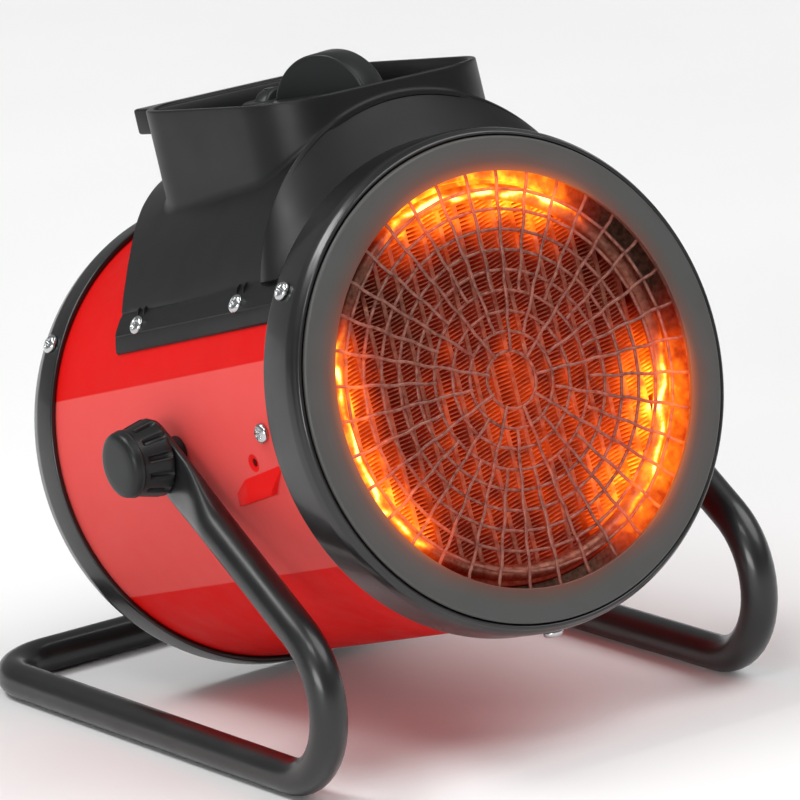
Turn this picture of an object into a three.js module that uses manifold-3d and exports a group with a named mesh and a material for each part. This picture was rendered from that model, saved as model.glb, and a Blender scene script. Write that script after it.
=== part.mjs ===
// Forced air heater: a tilting drum with a round heating face, carried on a bent-tube stand.
// Millimetres, +Z up, the heating face looks to -Y. The drum and everything in it is drawn
// about its own axis (Y, hot end at -Y, zero at the rear edge of the red skin) and is then
// tipped back about the two side pivots.
import * as THREE from 'three';
import { mergeVertices } from 'three/addons/utils/BufferGeometryUtils.js';
import Module from 'manifold-3d';

const wasm = await Module();
wasm.setup();
const DEG = Math.PI / 180;

// ---- driving dimensions -------------------------------------------------------------
const GAP = 0.3;                 // running gap left between pieces that touch
const SEG = 48;                  // sides of the large round parts

const DRUM_R = 95;               // outside of the red skin
const SKIN = 1.2;                // skin thickness
const DRUM_FRONT = -194.2;       // hidden front edge, inside the front ring
const DRUM_REAR = 9.4;           // hidden rear edge, inside the rear ring

const FRONT_RING_STAND = 5;      // the black front ring stands this far out from the skin
const FRONT_RING_R = DRUM_R + FRONT_RING_STAND;
const FRONT_RING_REAR = -176.6;
const FRONT_LIP = -199;
const PLATE_STAND = 0.8;         // the grey face plate stands this far out from the skin
const PLATE_R = DRUM_R + PLATE_STAND;
const PLATE_CLEAR = 1.1;         // round the plate, inside the ring's lip
const PLATE_BAND = 13.8;         // width of the plate round its opening
const PLATE_OPENING_R = PLATE_R - PLATE_BAND;
const PLATE_FRONT = -201.6;
const PLATE_THICK = 2;
const GUARD_THICK = 2.2;
const GUARD_LAP = 10;            // the guard reaches this far behind the plate
const GUARD_R = PLATE_OPENING_R + GUARD_LAP;
const LEDGE_R = PLATE_OPENING_R + 2.5;   // inner edge of the ledge that the guard sits on

const REAR_RING_STAND = 2.3;
const REAR_RING_R = DRUM_R + REAR_RING_STAND;
const REAR_RING_FRONT = 0.3;
const REAR_RING_REAR = 15.4;

const TILT = 14.4 * DEG;         // how far the drum leans back at rest
const PIVOT_Y = -97;             // side pivots, in drum coordinates
const PIVOT_Z = 2;
const PIVOT_HEIGHT = 125.5;      // pivots above the floor

const CORE_FRONT = -186;         // front face of the finned element
const RING_INSET = 5;            // the heating ring lies this far inside the element's edge
const RING_TUBE = 3.2;
const FRAME_REAR = -157.6;       // rear edge of the element's frame

const TUBE_R = 6.75;             // stand tube
const TUBE_SIDES = 12;
const TUBE_CLEAR = 9;            // from the skin to the tube's centre line, each side
const TUBE_X = DRUM_R + TUBE_CLEAR;
const FLAT_HALF = 2.5;           // half thickness of the flattened tube end
const FLAT_WIDTH = 9.2;          // half width of the flattened tube end
const FRONT_CORNER = -187.6;     // where leg and floor run would meet, from the pivot
const REAR_CORNER = 156.7;       // where floor run and cross tube would meet
const FRONT_BEND = 33.3;
const REAR_BEND = 27;

const BOLT_R = 3;
const SPACER_R = 9;
const KNOB_FACE_R = 14;
const KNOB_BASE_R = 15.6;
const KNOB_DEPTH = 17.6;
const KNOB_LOBES = 12;

const SCREW_R = 1.9;
const SCREW_HEAD_R = 4;
const SCREW_CLEAR = 0.35;
const FLANGE_ANGLE = 33 * DEG;   // flange and ring screws, above the pivot plane

const COVER_WALL = 2.6;
const FLANGE_STAND = 3;          // the screw flanges stand this far out from the skin
const COVER_FLANGE_R = DRUM_R + FLANGE_STAND;
const COVER_FRONT = FRONT_RING_REAR + GAP;
const COVER_REAR = 6;
const HOOD_Y = -161.5;           // plane of the raised hood edge
const HOOD = { r: 82, z: DRUM_R - 56.6 };
const REAR_ARCH = { r: 86, z: DRUM_R - 69.8 };
const GLAND_R = 4.6;             // cord inlet gland, in the tower's rear wall
const GLAND_FLANGE = 1.4;
const GLAND_CLEAR = 1.2;         // between the gland's flange and the saddle
const GLAND_DROP = 11.2;         // from the tower's rim, at its middle, down to the gland
const TOWER_SLOPE = 6.05 * DEG;
const TOWER_WALL = 3;
const PANEL_DROP = 9;            // control panel below the rim
const PANEL_THICK = 2.6;
const TOWER_PLAN = { x: 54, y: 60, corner: 28, centre: -102 };
const GLAND_Y = TOWER_PLAN.centre + TOWER_PLAN.y;     // outside of the tower's rear wall
const GLAND_Z = crownHeight(GLAND_Y + 6) + GLAND_CLEAR + GLAND_FLANGE + GLAND_R;
const TOWER = { ...TOWER_PLAN, top: GLAND_Z + GLAND_DROP };
const LIP = { x: 40, y: 9, corner: 3, depth: 11 };    // block behind the tower's rim

// height of the saddle's crown at a station
function crownHeight(y) {
  const share = (y - HOOD_Y) / (COVER_REAR - HOOD_Y);
  return (HOOD.r + HOOD.z) * (1 - share) + (REAR_ARCH.r + REAR_ARCH.z) * share;
}

// ---- materials ----------------------------------------------------------------------
function finish(color, roughness, metalness) {
  return new THREE.MeshStandardMaterial({ color, roughness, metalness });
}
const FINISH = {
  red: () => finish(0xc8202a, 0.35, 0.25),
  blackSteel: () => finish(0x232427, 0.38, 0.4),
  blackPlastic: () => finish(0x2b2c2f, 0.5, 0.0),
  greyPlate: () => finish(0x6e6e6c, 0.45, 0.5),
  wire: () => finish(0x9a6a58, 0.4, 0.8),
  heater: () => finish(0x8a4a3a, 0.6, 0.5),
  steel: () => finish(0xb9bbbe, 0.28, 1.0),
  zinc: () => finish(0x8f9396, 0.45, 0.8),
  ceramic: () => finish(0xd9d4c8, 0.7, 0.0),
  lamp: () => finish(0xc85a28, 0.2, 0.0),
};

// ---- solids -------------------------------------------------------------------------
function toSolid(geometry) {
  const bare = geometry.index ? geometry.toNonIndexed() : geometry.clone();
  for (const key of Object.keys(bare.attributes)) {
    if (key !== 'position') bare.deleteAttribute(key);
  }
  const merged = mergeVertices(bare, 1e-4);
  const at = merged.attributes.position;
  const index = Array.from(merged.index.array);
  const kept = [];
  let volume = 0;
  for (let i = 0; i < index.length; i += 3) {
    const [a, b, c] = index.slice(i, i + 3);
    if (a === b || b === c || a === c) continue;
    kept.push(a, b, c);
    const [p, q, r] = [a, b, c].map((k) => new THREE.Vector3().fromBufferAttribute(at, k));
    volume += p.dot(q.cross(r));
  }
  if (volume < 0) {
    for (let i = 0; i < kept.length; i += 3) [kept[i], kept[i + 1]] = [kept[i + 1], kept[i]];
  }
  return new wasm.Manifold(new wasm.Mesh({
    numProp: 3, vertProperties: new Float32Array(at.array), triVerts: new Uint32Array(kept),
  }));
}

function toGeometry(solid) {
  const mesh = solid.getMesh();
  const geometry = new THREE.BufferGeometry();
  geometry.setAttribute('position', new THREE.BufferAttribute(new Float32Array(mesh.vertProperties), 3));
  geometry.setIndex(new THREE.BufferAttribute(new Uint32Array(mesh.triVerts), 1));
  const flat = geometry.toNonIndexed();
  flat.computeVertexNormals();
  return flat;
}

const join = (first, ...rest) => rest.reduce((all, next) => all.add(next), first);
const cut = (first, ...rest) => rest.reduce((all, next) => all.subtract(next), first);

function lathe(profile, segments = SEG) {
  const ring = profile.map(([r, y]) => new THREE.Vector2(r, y));
  const closed = profile[0][0] > 0 || profile[profile.length - 1][0] > 0;
  if (closed) ring.push(ring[0].clone());
  return new THREE.LatheGeometry(ring, segments);
}

function box(x0, x1, y0, y1, z0, z1) {
  const shape = new THREE.BoxGeometry(x1 - x0, y1 - y0, z1 - z0);
  return shape.translate((x0 + x1) / 2, (y0 + y1) / 2, (z0 + z1) / 2);
}

// lathe about Y, laid along +X or -X (sx = 1 or -1), about the line y, z
function alongX(profile, sx, y, z, segments = 24) {
  return lathe(profile, segments).rotateZ(-90 * DEG * sx).translate(0, y, z);
}

// radial pin through the drum wall: the lathe's +Y becomes outward at that body angle
function radial(profile, radius, angle, y, segments = 8) {
  const shape = lathe(profile, segments);
  shape.rotateZ(90 * DEG).translate(-radius, 0, 0).rotateY(angle).translate(0, y, 0);
  return shape;
}

// closed body through equal closed loops of points, capped by a fan at both ends
function loft(loops) {
  const n = loops[0].length;
  const points = [];
  const faces = [];
  loops.forEach((loop) => loop.forEach((p) => points.push(...p)));
  for (let k = 0; k + 1 < loops.length; k += 1) {
    for (let i = 0; i < n; i += 1) {
      const a = k * n + i;
      const b = k * n + ((i + 1) % n);
      faces.push(a, b, b + n, a, b + n, a + n);
    }
  }
  const last = (loops.length - 1) * n;
  for (const [start, flip] of [[0, true], [last, false]]) {
    const middle = points.length / 3;
    const sum = [0, 0, 0];
    for (let i = 0; i < n; i += 1) {
      for (let c = 0; c < 3; c += 1) sum[c] += points[(start + i) * 3 + c] / n;
    }
    points.push(...sum);
    for (let i = 0; i < n; i += 1) {
      const a = start + i;
      const b = start + ((i + 1) % n);
      faces.push(...(flip ? [middle, b, a] : [middle, a, b]));
    }
  }
  const geometry = new THREE.BufferGeometry();
  geometry.setAttribute('position', new THREE.Float32BufferAttribute(points, 3));
  geometry.setIndex(faces);
  return geometry;
}

function roundedOutline(halfX, halfY, corner, steps = 6) {
  const points = [];
  for (let q = 0; q < 4; q += 1) {
    const cx = (q === 0 || q === 3 ? 1 : -1) * (halfX - corner);
    const cy = (q < 2 ? 1 : -1) * (halfY - corner);
    for (let i = 0; i <= steps; i += 1) {
      const a = (q + i / steps) * 90 * DEG;
      points.push(new THREE.Vector2(cx + corner * Math.cos(a), cy + corner * Math.sin(a)));
    }
  }
  return points;
}

function plate(outline, holes, depth) {
  const shape = new THREE.Shape(outline);
  holes.forEach((hole) => shape.holes.push(new THREE.Path(hole)));
  return new THREE.ExtrudeGeometry(shape, { depth, bevelEnabled: false, curveSegments: 12 });
}

// a plate with many small openings cut through it
function perforated(outline, holes, depth) {
  const punches = new THREE.ExtrudeGeometry(holes.map((hole) => new THREE.Shape(hole)),
    { depth: depth + 2, bevelEnabled: false });
  return cut(toSolid(plate(outline, [], depth)), toSolid(punches.translate(0, 0, -1)));
}

const circlePoints = (r, n, cx = 0, cy = 0) => Array.from({ length: n }, (_, i) => (
  new THREE.Vector2(cx + r * Math.cos((i / n) * 2 * Math.PI), cy + r * Math.sin((i / n) * 2 * Math.PI))));

// a plate drawn flat, stood square to the drum axis with its back at one station
function standing(solid, yRear) {
  return solid.rotate([90, 0, 0]).translate([0, yRear, 0]);
}

// ---- assembly -----------------------------------------------------------------------
const heater = new THREE.Group();
heater.name = 'forced_air_heater';
const drum = new THREE.Group();
drum.name = 'heater_drum';
const controls = new THREE.Group();
controls.name = 'control_head';

function place(group, name, shape, material) {
  const geometry = shape instanceof THREE.BufferGeometry ? toGeometry(toSolid(shape)) : toGeometry(shape);
  const mesh = new THREE.Mesh(geometry, material());
  mesh.name = name;
  group.add(mesh);
}

const SIDES = [['left', -1], ['right', 1]];
const pinProfile = (r, inner, outer) => [[0, inner], [r, inner], [r, outer], [0, outer]];

// panhead screw: zero is the face its head bears on
function screwProfile(length) {
  return [[0, -length], [SCREW_R, -length], [SCREW_R, 0], [SCREW_HEAD_R, 0],
    [SCREW_HEAD_R, 1.1], [2.9, 2.1], [0, 2.5]];
}

// ---- stand --------------------------------------------------------------------------
const LAY = TUBE_R * Math.cos(Math.PI / TUBE_SIDES);    // centre line above the floor

function standStations() {
  const pivot = new THREE.Vector2(0, PIVOT_HEIGHT);
  const corner = new THREE.Vector2(FRONT_CORNER, LAY);
  const down = corner.clone().sub(pivot).normalize();
  const half = Math.atan2(-down.y, -down.x) / 2;         // half the angle inside the front bend
  const setback = FRONT_BEND / Math.tan(half);
  const legEnd = corner.clone().addScaledVector(down, -setback);
  const runStart = corner.x + setback;
  const stations = [];
  const leg = (s, wide, thick) => {
    const at = pivot.clone().addScaledVector(down, s);
    stations.push({ at: [TUBE_X, at.x, at.y], up: [0, -down.y, down.x], wide, thick });
  };
  leg(-FLAT_WIDTH, FLAT_WIDTH * 0.55, FLAT_HALF);
  leg(-FLAT_WIDTH * 0.7, FLAT_WIDTH * 0.9, FLAT_HALF);
  leg(0, FLAT_WIDTH, FLAT_HALF);
  leg(FLAT_WIDTH * 1.6, FLAT_WIDTH, FLAT_HALF);
  leg(FLAT_WIDTH * 3.2, 7.9, 4.8);
  leg(FLAT_WIDTH * 4.6, TUBE_R, TUBE_R);
  // front bend: turn from the leg into the floor run
  const centre = new THREE.Vector2(runStart, LAY + FRONT_BEND);
  const start = Math.atan2(legEnd.y - centre.y, legEnd.x - centre.x);
  const sweep = 270 * DEG - (start < 0 ? start + 360 * DEG : start);
  const steps = 9;
  for (let i = 0; i <= steps; i += 1) {
    const a = start + (sweep * i) / steps;
    stations.push({
      at: [TUBE_X, centre.x + FRONT_BEND * Math.cos(a), centre.y + FRONT_BEND * Math.sin(a)],
      up: [0, -Math.cos(a), -Math.sin(a)], wide: TUBE_R, thick: TUBE_R,
    });
  }
  // rear bend, flat on the floor
  for (let i = 0; i <= 6; i += 1) {
    const a = (i / 6) * 90 * DEG;
    stations.push({
      at: [TUBE_X - REAR_BEND * (1 - Math.cos(a)), REAR_CORNER - REAR_BEND * (1 - Math.sin(a)), LAY],
      up: [0, 0, 1], wide: TUBE_R, thick: TUBE_R,
    });
  }
  return stations;
}

function standTube() {
  const right = standStations();
  const left = right.map((s) => ({ ...s, at: [-s.at[0], s.at[1], s.at[2]] })).reverse();
  const path = [...right, ...left];
  const loops = path.map((s, i) => {
    const from = new THREE.Vector3(...path[Math.max(i - 1, 0)].at);
    const to = new THREE.Vector3(...path[Math.min(i + 1, path.length - 1)].at);
    const tangent = to.sub(from).normalize();
    const up = new THREE.Vector3(...s.up);
    const side = tangent.clone().cross(up).normalize();
    return Array.from({ length: TUBE_SIDES }, (_, k) => {
      const a = ((k + 0.5) / TUBE_SIDES) * 2 * Math.PI;
      const p = new THREE.Vector3(...s.at);
      p.addScaledVector(up, s.wide * Math.sin(a)).addScaledVector(side, s.thick * Math.cos(a));
      return p.toArray();
    });
  });
  const holes = SIDES.map(([, s]) => toSolid(
    alongX(pinProfile(BOLT_R + 0.4, TUBE_X - 8, TUBE_X + 8), s, 0, PIVOT_HEIGHT, 16)));
  return cut(toSolid(loft(loops)), ...holes);
}
place(heater, 'stand_tube', standTube(), FINISH.blackSteel);

// ---- side pivots --------------------------------------------------------------------
const TUBE_INNER = TUBE_X - FLAT_HALF * Math.cos(Math.PI / TUBE_SIDES);
const TUBE_OUTER = TUBE_X + FLAT_HALF * Math.cos(Math.PI / TUBE_SIDES);
const KNOB_BACK = TUBE_OUTER + GAP;
const BOLT_END = KNOB_BACK + 11;

function tiltKnob(s) {
  const ring = (x, radius, dip) => Array.from({ length: KNOB_LOBES * 3 }, (_, k) => {
    const a = (k / (KNOB_LOBES * 3)) * 2 * Math.PI;
    const r = k % 3 === 0 ? radius - dip : radius;
    return [s * x, PIVOT_Y + r * Math.cos(a), PIVOT_Z + r * Math.sin(a)];
  });
  const rings = [ring(KNOB_BACK, KNOB_BASE_R, 1.5), ring(KNOB_BACK + KNOB_DEPTH * 0.75, KNOB_FACE_R + 0.6, 1.5),
    ring(KNOB_BACK + KNOB_DEPTH * 0.8, KNOB_FACE_R, 0),
    ring(KNOB_BACK + KNOB_DEPTH * 0.96, KNOB_FACE_R - 0.7, 0),
    ring(KNOB_BACK + KNOB_DEPTH, KNOB_FACE_R - 3, 0)];
  const bore = alongX(pinProfile(BOLT_R + GAP, KNOB_BACK - 1, BOLT_END + 0.5), s, PIVOT_Y, PIVOT_Z, 12);
  return cut(toSolid(loft(rings)), toSolid(bore));
}

const boltProfile = [[0, DRUM_R - SKIN - 3.8], [6.5, DRUM_R - SKIN - 3.8], [6.5, DRUM_R - SKIN - 0.8],
  [BOLT_R, DRUM_R - SKIN - 0.8], [BOLT_R, BOLT_END], [0, BOLT_END]];
const spacerProfile = [[BOLT_R + 0.3, DRUM_R + GAP], [SPACER_R, DRUM_R + GAP], [SPACER_R, TUBE_INNER - GAP],
  [BOLT_R + 0.3, TUBE_INNER - GAP]];
for (const [side, s] of SIDES) {
  place(drum, `tilt_knob_${side}`, tiltKnob(s), FINISH.blackPlastic);
  place(drum, `pivot_bolt_${side}`, alongX(boltProfile, s, PIVOT_Y, PIVOT_Z, 12), FINISH.zinc);
  place(drum, `pivot_spacer_${side}`, alongX(spacerProfile, s, PIVOT_Y, PIVOT_Z, 16), FINISH.blackPlastic);
}

// ---- screws -------------------------------------------------------------------------
const FRONT_SCREW_Y = FRONT_RING_REAR - 8;
const REAR_SCREW_Y = REAR_RING_FRONT + 5.9;
const FRAME_SCREW_Y = FRAME_REAR - 6;
// every radial screw: name, bearing radius, body angle, station along the drum, length
const SCREWS = [
  ['front_ring_screw_left', FRONT_RING_R, FLANGE_ANGLE, FRONT_SCREW_Y, 7],
  ['front_ring_screw_right', FRONT_RING_R, Math.PI - FLANGE_ANGLE, FRONT_SCREW_Y, 7],
  ['front_ring_screw_bottom', FRONT_RING_R, -90 * DEG, FRONT_SCREW_Y, 7],
  ['rear_ring_screw_left', REAR_RING_R, FLANGE_ANGLE, REAR_SCREW_Y, 4.6],
  ['rear_ring_screw_right', REAR_RING_R, Math.PI - FLANGE_ANGLE, REAR_SCREW_Y, 4.6],
  ['rear_ring_screw_bottom', REAR_RING_R, -90 * DEG, REAR_SCREW_Y, 4.6],
  ['cover_screw_left_front', COVER_FLANGE_R, FLANGE_ANGLE, -145.6, 6],
  ['cover_screw_left_rear', COVER_FLANGE_R, FLANGE_ANGLE, -66, 6],
  ['cover_screw_right_front', COVER_FLANGE_R, Math.PI - FLANGE_ANGLE, -145.6, 6],
  ['cover_screw_right_rear', COVER_FLANGE_R, Math.PI - FLANGE_ANGLE, -66, 6],
  ['frame_screw_left', DRUM_R, 1.7 * DEG, FRAME_SCREW_Y, 6],
  ['frame_screw_right', DRUM_R, Math.PI - 1.7 * DEG, FRAME_SCREW_Y, 6],
];
const screwHoles = () => SCREWS.map(([, , angle, y]) => toSolid(
  radial(pinProfile(SCREW_R + SCREW_CLEAR, -16, 9), DRUM_R, angle, y, 8)));
// room for the cover screws' heads above the flange
const headPockets = () => SCREWS.slice(6, 10).map(([, , angle, y]) => toSolid(
  radial(pinProfile(SCREW_HEAD_R + SCREW_CLEAR, 0, 30), COVER_FLANGE_R, angle, y, 12)));
for (const [name, radius, angle, y, length] of SCREWS) {
  place(drum, name, radial(screwProfile(length), radius + 0.1, angle, y), FINISH.steel);
}

// ---- drum skin ----------------------------------------------------------------------
// pressed hood low on the left side: [station, height, lift above the skin]
const PRESSING = [[-127, -24.6, 0.2], [-130, -18.6, 1.1], [-140, -13.6, 1.7], [-156, -11.9, 2.3],
  [-172.5, -10.2, 2.6], [-160.5, -21.8, 2.7], [-144, -23.2, 2.0]];

const DIMPLE = { angle: -4.9 * DEG, y: -150.5 };
const WIRE_HOLE = { r: 9, y: -76 };       // for the wires up into the cover

function drumSkin() {
  const tube = lathe([[DRUM_R, DRUM_FRONT], [DRUM_R, DRUM_REAR], [DRUM_R - SKIN, DRUM_REAR],
    [DRUM_R - SKIN, DRUM_FRONT]]);
  const skinX = (z) => -Math.sqrt(DRUM_R ** 2 - z ** 2);
  const pressing = loft([
    PRESSING.map(([y, z]) => [skinX(z) + 0.7, y, z]),
    PRESSING.map(([y, z, lift]) => [skinX(z) - lift, y, z]),
  ]);
  const dimple = radial([[0, -3], [1.3, -3], [1.3, -0.9], [3.6, 0.3], [0, 0.3]], DRUM_R,
    DIMPLE.angle, DIMPLE.y, 12);
  const bolts = SIDES.map(([, s]) => toSolid(
    alongX(pinProfile(BOLT_R + 0.4, DRUM_R - 6, DRUM_R + 4), s, PIVOT_Y, PIVOT_Z, 12)));
  const wires = toSolid(lathe(pinProfile(WIRE_HOLE.r, DRUM_R - 15, DRUM_R + 15), 12)
    .rotateX(90 * DEG).translate(0, WIRE_HOLE.y, 0));
  return cut(join(toSolid(tube), toSolid(pressing)), toSolid(dimple), wires, ...bolts, ...screwHoles());
}
place(drum, 'drum_skin', drumSkin(), FINISH.red);

// ---- front end ----------------------------------------------------------------------
const PLATE_REAR = PLATE_FRONT + PLATE_THICK;
const GUARD_FRONT = PLATE_REAR + GAP;
const GUARD_REAR = GUARD_FRONT + GUARD_THICK;
const SEAT = GUARD_REAR + GAP;
const LIP_R = PLATE_R + PLATE_CLEAR;
const frontRing = lathe([[LIP_R, FRONT_LIP], [FRONT_RING_R - 1.8, FRONT_LIP],
  [FRONT_RING_R - 0.5, FRONT_LIP + 1.6], [FRONT_RING_R, FRONT_LIP + 4.4], [FRONT_RING_R, FRONT_RING_REAR],
  [DRUM_R + GAP, FRONT_RING_REAR], [DRUM_R + GAP, SEAT + 2], [LEDGE_R, SEAT + 2], [LEDGE_R, SEAT],
  [LIP_R, SEAT]]);
place(drum, 'front_ring', cut(toSolid(frontRing), ...screwHoles().slice(0, 3)), FINISH.blackSteel);
place(drum, 'face_plate', lathe([[PLATE_OPENING_R, PLATE_FRONT], [PLATE_R - 0.6, PLATE_FRONT],
  [PLATE_R, PLATE_REAR], [PLATE_OPENING_R, PLATE_REAR]]), FINISH.greyPlate);

// wire net: rings and spokes, the openings between them and in the middle cut from one disc
function net(rim, wire, rings, depth, middle = []) {
  const holes = [...middle];
  rings.forEach(([inner, outer, count, turn]) => {
    for (let i = 0; i < count; i += 1) {
      const a0 = ((i + turn) / count) * 2 * Math.PI;
      const a1 = ((i + 1 + turn) / count) * 2 * Math.PI;
      const corner = (r, a, sign) => {
        const off = Math.asin((wire / 2) / r) * sign;
        return new THREE.Vector2(r * Math.cos(a + off), r * Math.sin(a + off));
      };
      const lo = inner + wire / 2;
      const hi = outer - wire / 2;
      holes.push([corner(lo, a0, 1), corner(hi, a0, 1), corner(hi, a1, -1), corner(lo, a1, -1)]);
    }
  });
  return perforated(circlePoints(rim, SEG), holes, depth);
}
const GUARD_WIRE = 1.6;
const GUARD_PITCH = 8;
const guardRings = [];
for (let k = 0; k < 9; k += 1) {
  const outer = PLATE_OPENING_R + 1.4 - k * GUARD_PITCH;
  guardRings.push([outer - GUARD_PITCH, outer, k < 4 ? 36 : k < 7 ? 18 : 9, 0]);
}
const guardMiddle = [circlePoints(guardRings.at(-1)[0] - GUARD_WIRE / 2, 9)];
place(drum, 'front_guard', standing(net(GUARD_R, GUARD_WIRE, guardRings, GUARD_THICK, guardMiddle), GUARD_REAR),
  FINISH.wire);

// ---- heating element ----------------------------------------------------------------
const CORE_DEPTH = 12;
const CORE_R = PLATE_OPENING_R - 2;
const FRAME_WEB = 2.4;
const FRAME_LIP = 4;             // the frame's web laps the back of the element this far
const BRACKET_REAR = -20;
const BRACKET_THICK = 3;
const CORE_ROWS = 9;
function heatingCore() {
  const bar = 3;
  const pitch = (2 * CORE_R - bar) / CORE_ROWS;
  const fold = 20;
  const web = 1.3;
  const holes = [];
  for (let row = 0; row < CORE_ROWS; row += 1) {
    const low = -CORE_R + bar + row * pitch;
    const high = low + pitch - bar;
    const reach = Math.sqrt(Math.max(0, (CORE_R - 3) ** 2 - Math.max(Math.abs(low), Math.abs(high)) ** 2));
    const count = Math.floor((2 * reach) / (fold / 2)) - 1;
    const start = (-(count + 1) * fold) / 4;
    for (let i = 0; i < count; i += 1) {
      const x = start + (i * fold) / 2;
      const up = (i + row) % 2 === 0;
      const base = up ? low : high;
      const tip = up ? high - 1 : low + 1;
      const trio = [[x + web, base], [x + fold - web, base], [x + fold / 2, tip]];
      holes.push((up ? trio : trio.reverse()).map(([px, pz]) => new THREE.Vector2(px, pz)));
    }
  }
  return standing(perforated(circlePoints(CORE_R, SEG), holes, CORE_DEPTH), CORE_FRONT + CORE_DEPTH);
}
place(drum, 'heating_core', heatingCore(), FINISH.heater);

const CORE_REAR = CORE_FRONT + CORE_DEPTH;
const elementFrame = lathe([[CORE_R + 0.4, CORE_FRONT], [DRUM_R - SKIN - 0.4, CORE_FRONT],
  [DRUM_R - SKIN - 0.4, FRAME_REAR], [DRUM_R - SKIN - 2.4, FRAME_REAR],
  [DRUM_R - SKIN - 2.4, CORE_REAR + FRAME_WEB],
  [CORE_R - FRAME_LIP, CORE_REAR + FRAME_WEB], [CORE_R - FRAME_LIP, CORE_REAR + GAP],
  [CORE_R + 0.4, CORE_REAR + GAP]], 32);
place(drum, 'element_frame', cut(toSolid(elementFrame), ...screwHoles().slice(0, 3), ...screwHoles().slice(10)),
  FINISH.zinc);

// tubular ring that lies against the front of the element
const ringY = CORE_FRONT - GAP - RING_TUBE;
place(drum, 'heating_ring', lathe(circlePoints(RING_TUBE, 6, CORE_R - RING_INSET, ringY)
  .map((p) => [p.x, p.y]), 36), FINISH.heater);

const DUCT_R = DRUM_R - 7;
const DUCT_FRONT = CORE_REAR + FRAME_WEB + GAP;          // stands on the frame's web
const DUCT_REAR = BRACKET_REAR - BRACKET_THICK - GAP;    // and is held by the motor bracket
place(drum, 'inner_duct', lathe([[DUCT_R, DUCT_FRONT], [DUCT_R, DUCT_REAR], [DUCT_R - 1.2, DUCT_REAR],
  [DUCT_R - 1.2, DUCT_FRONT]], 36), FINISH.zinc);

// ---- fan and motor ------------------------------------------------------------------
const MOTOR_R = 26;
const MOTOR_FRONT = -56;
const MOTOR_REAR = -14;
place(drum, 'motor', lathe([[0, MOTOR_FRONT], [9, MOTOR_FRONT], [9, MOTOR_FRONT + 3],
  [MOTOR_R - 3, MOTOR_FRONT + 3], [MOTOR_R, MOTOR_FRONT + 6], [MOTOR_R, MOTOR_REAR - 4], [MOTOR_R - 5, MOTOR_REAR], [0, MOTOR_REAR]], 24),
FINISH.zinc);

function motorBracket() {
  const centre = [];
  const arms = 4;
  const arm = 5;                 // half the width of an arm
  const rim = DRUM_R - 6;
  const hub = MOTOR_R + 6;
  const outline = circlePoints(DRUM_R - SKIN - 0.4, SEG);
  for (let i = 0; i < arms; i += 1) {
    const a0 = (i / arms + 0.5 / arms) * 2 * Math.PI;
    const a1 = a0 + (2 * Math.PI) / arms;
    const window = [];
    for (let k = 0; k <= 5; k += 1) {
      const a = a0 + arm / rim + ((a1 - a0 - (2 * arm) / rim) * k) / 5;
      window.push(new THREE.Vector2(rim * Math.cos(a), rim * Math.sin(a)));
    }
    for (let k = 3; k >= 0; k -= 1) {
      const a = a0 + arm / hub + ((a1 - a0 - (2 * arm) / hub) * k) / 3;
      window.push(new THREE.Vector2(hub * Math.cos(a), hub * Math.sin(a)));
    }
    centre.push(window);
  }
  centre.push(circlePoints(MOTOR_R + 0.3, 24));
  return standing(perforated(outline, centre, BRACKET_THICK), BRACKET_REAR);
}
place(drum, 'motor_bracket', motorBracket(), FINISH.zinc);

const FAN_FRONT = -86;
const FAN_REAR = -64;
function fan() {
  const hub = lathe([[0, FAN_FRONT], [14, FAN_FRONT], [19, FAN_FRONT + 4], [19, FAN_REAR], [0, FAN_REAR]], 20);
  const blades = Array.from({ length: 5 }, (_, i) => {
    const section = (r, chord, twist) => {
      const along = [Math.cos(twist), Math.sin(twist)];
      const half = [[-chord / 2, -0.9], [chord / 2, -0.9], [chord / 2, 0.9], [-chord / 2, 0.9]];
      return half.map(([c, t]) => [c * along[0] - t * along[1],
        (FAN_FRONT + FAN_REAR) / 2 + c * along[1] + t * along[0], r]);
    };
    const root = 16;
    const tip = DUCT_R - 10;
    const blade = loft([section(root, 20, 42 * DEG), section((root + tip) / 2, 38, 30 * DEG),
      section(tip, 50, 20 * DEG)]);
    return toSolid(blade.rotateY((i / 5) * 2 * Math.PI));
  });
  const bore = toSolid(lathe(pinProfile(3.3, FAN_REAR - 16, FAN_REAR + 1), 10));
  return cut(join(toSolid(hub), ...blades), bore);
}
place(drum, 'fan', fan(), FINISH.blackPlastic);
place(drum, 'fan_shaft', lathe(pinProfile(3, FAN_REAR - 15.5, MOTOR_FRONT - GAP), 10), FINISH.steel);

// ---- rear end -----------------------------------------------------------------------
const GRILLE_REAR = REAR_RING_REAR - 3.2;
const GRILLE_R = DRUM_R - 7;     // outside of the grille's openings
const GRILLE_PITCH = 18;
const rearRing = lathe([[DRUM_R + GAP, REAR_RING_FRONT],
  [REAR_RING_R, REAR_RING_FRONT], [REAR_RING_R, REAR_RING_REAR - 4.8], [REAR_RING_R - 2.3, REAR_RING_REAR],
  [GRILLE_R + 1, REAR_RING_REAR], [GRILLE_R + 1, GRILLE_REAR + GAP], [DRUM_R + GAP, GRILLE_REAR + GAP]]);
place(drum, 'rear_ring', cut(toSolid(rearRing), ...screwHoles().slice(3, 6)), FINISH.blackSteel);
const rearRings = [16, 16, 8, 8].map((count, k) => (
  [GRILLE_R - (k + 1) * GRILLE_PITCH - (k === 3 ? 2 : 0), GRILLE_R - k * GRILLE_PITCH, count, 0]));
place(drum, 'rear_grille', standing(net(DRUM_R, 2.6, rearRings, 2.2), GRILLE_REAR), FINISH.blackSteel);

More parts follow.
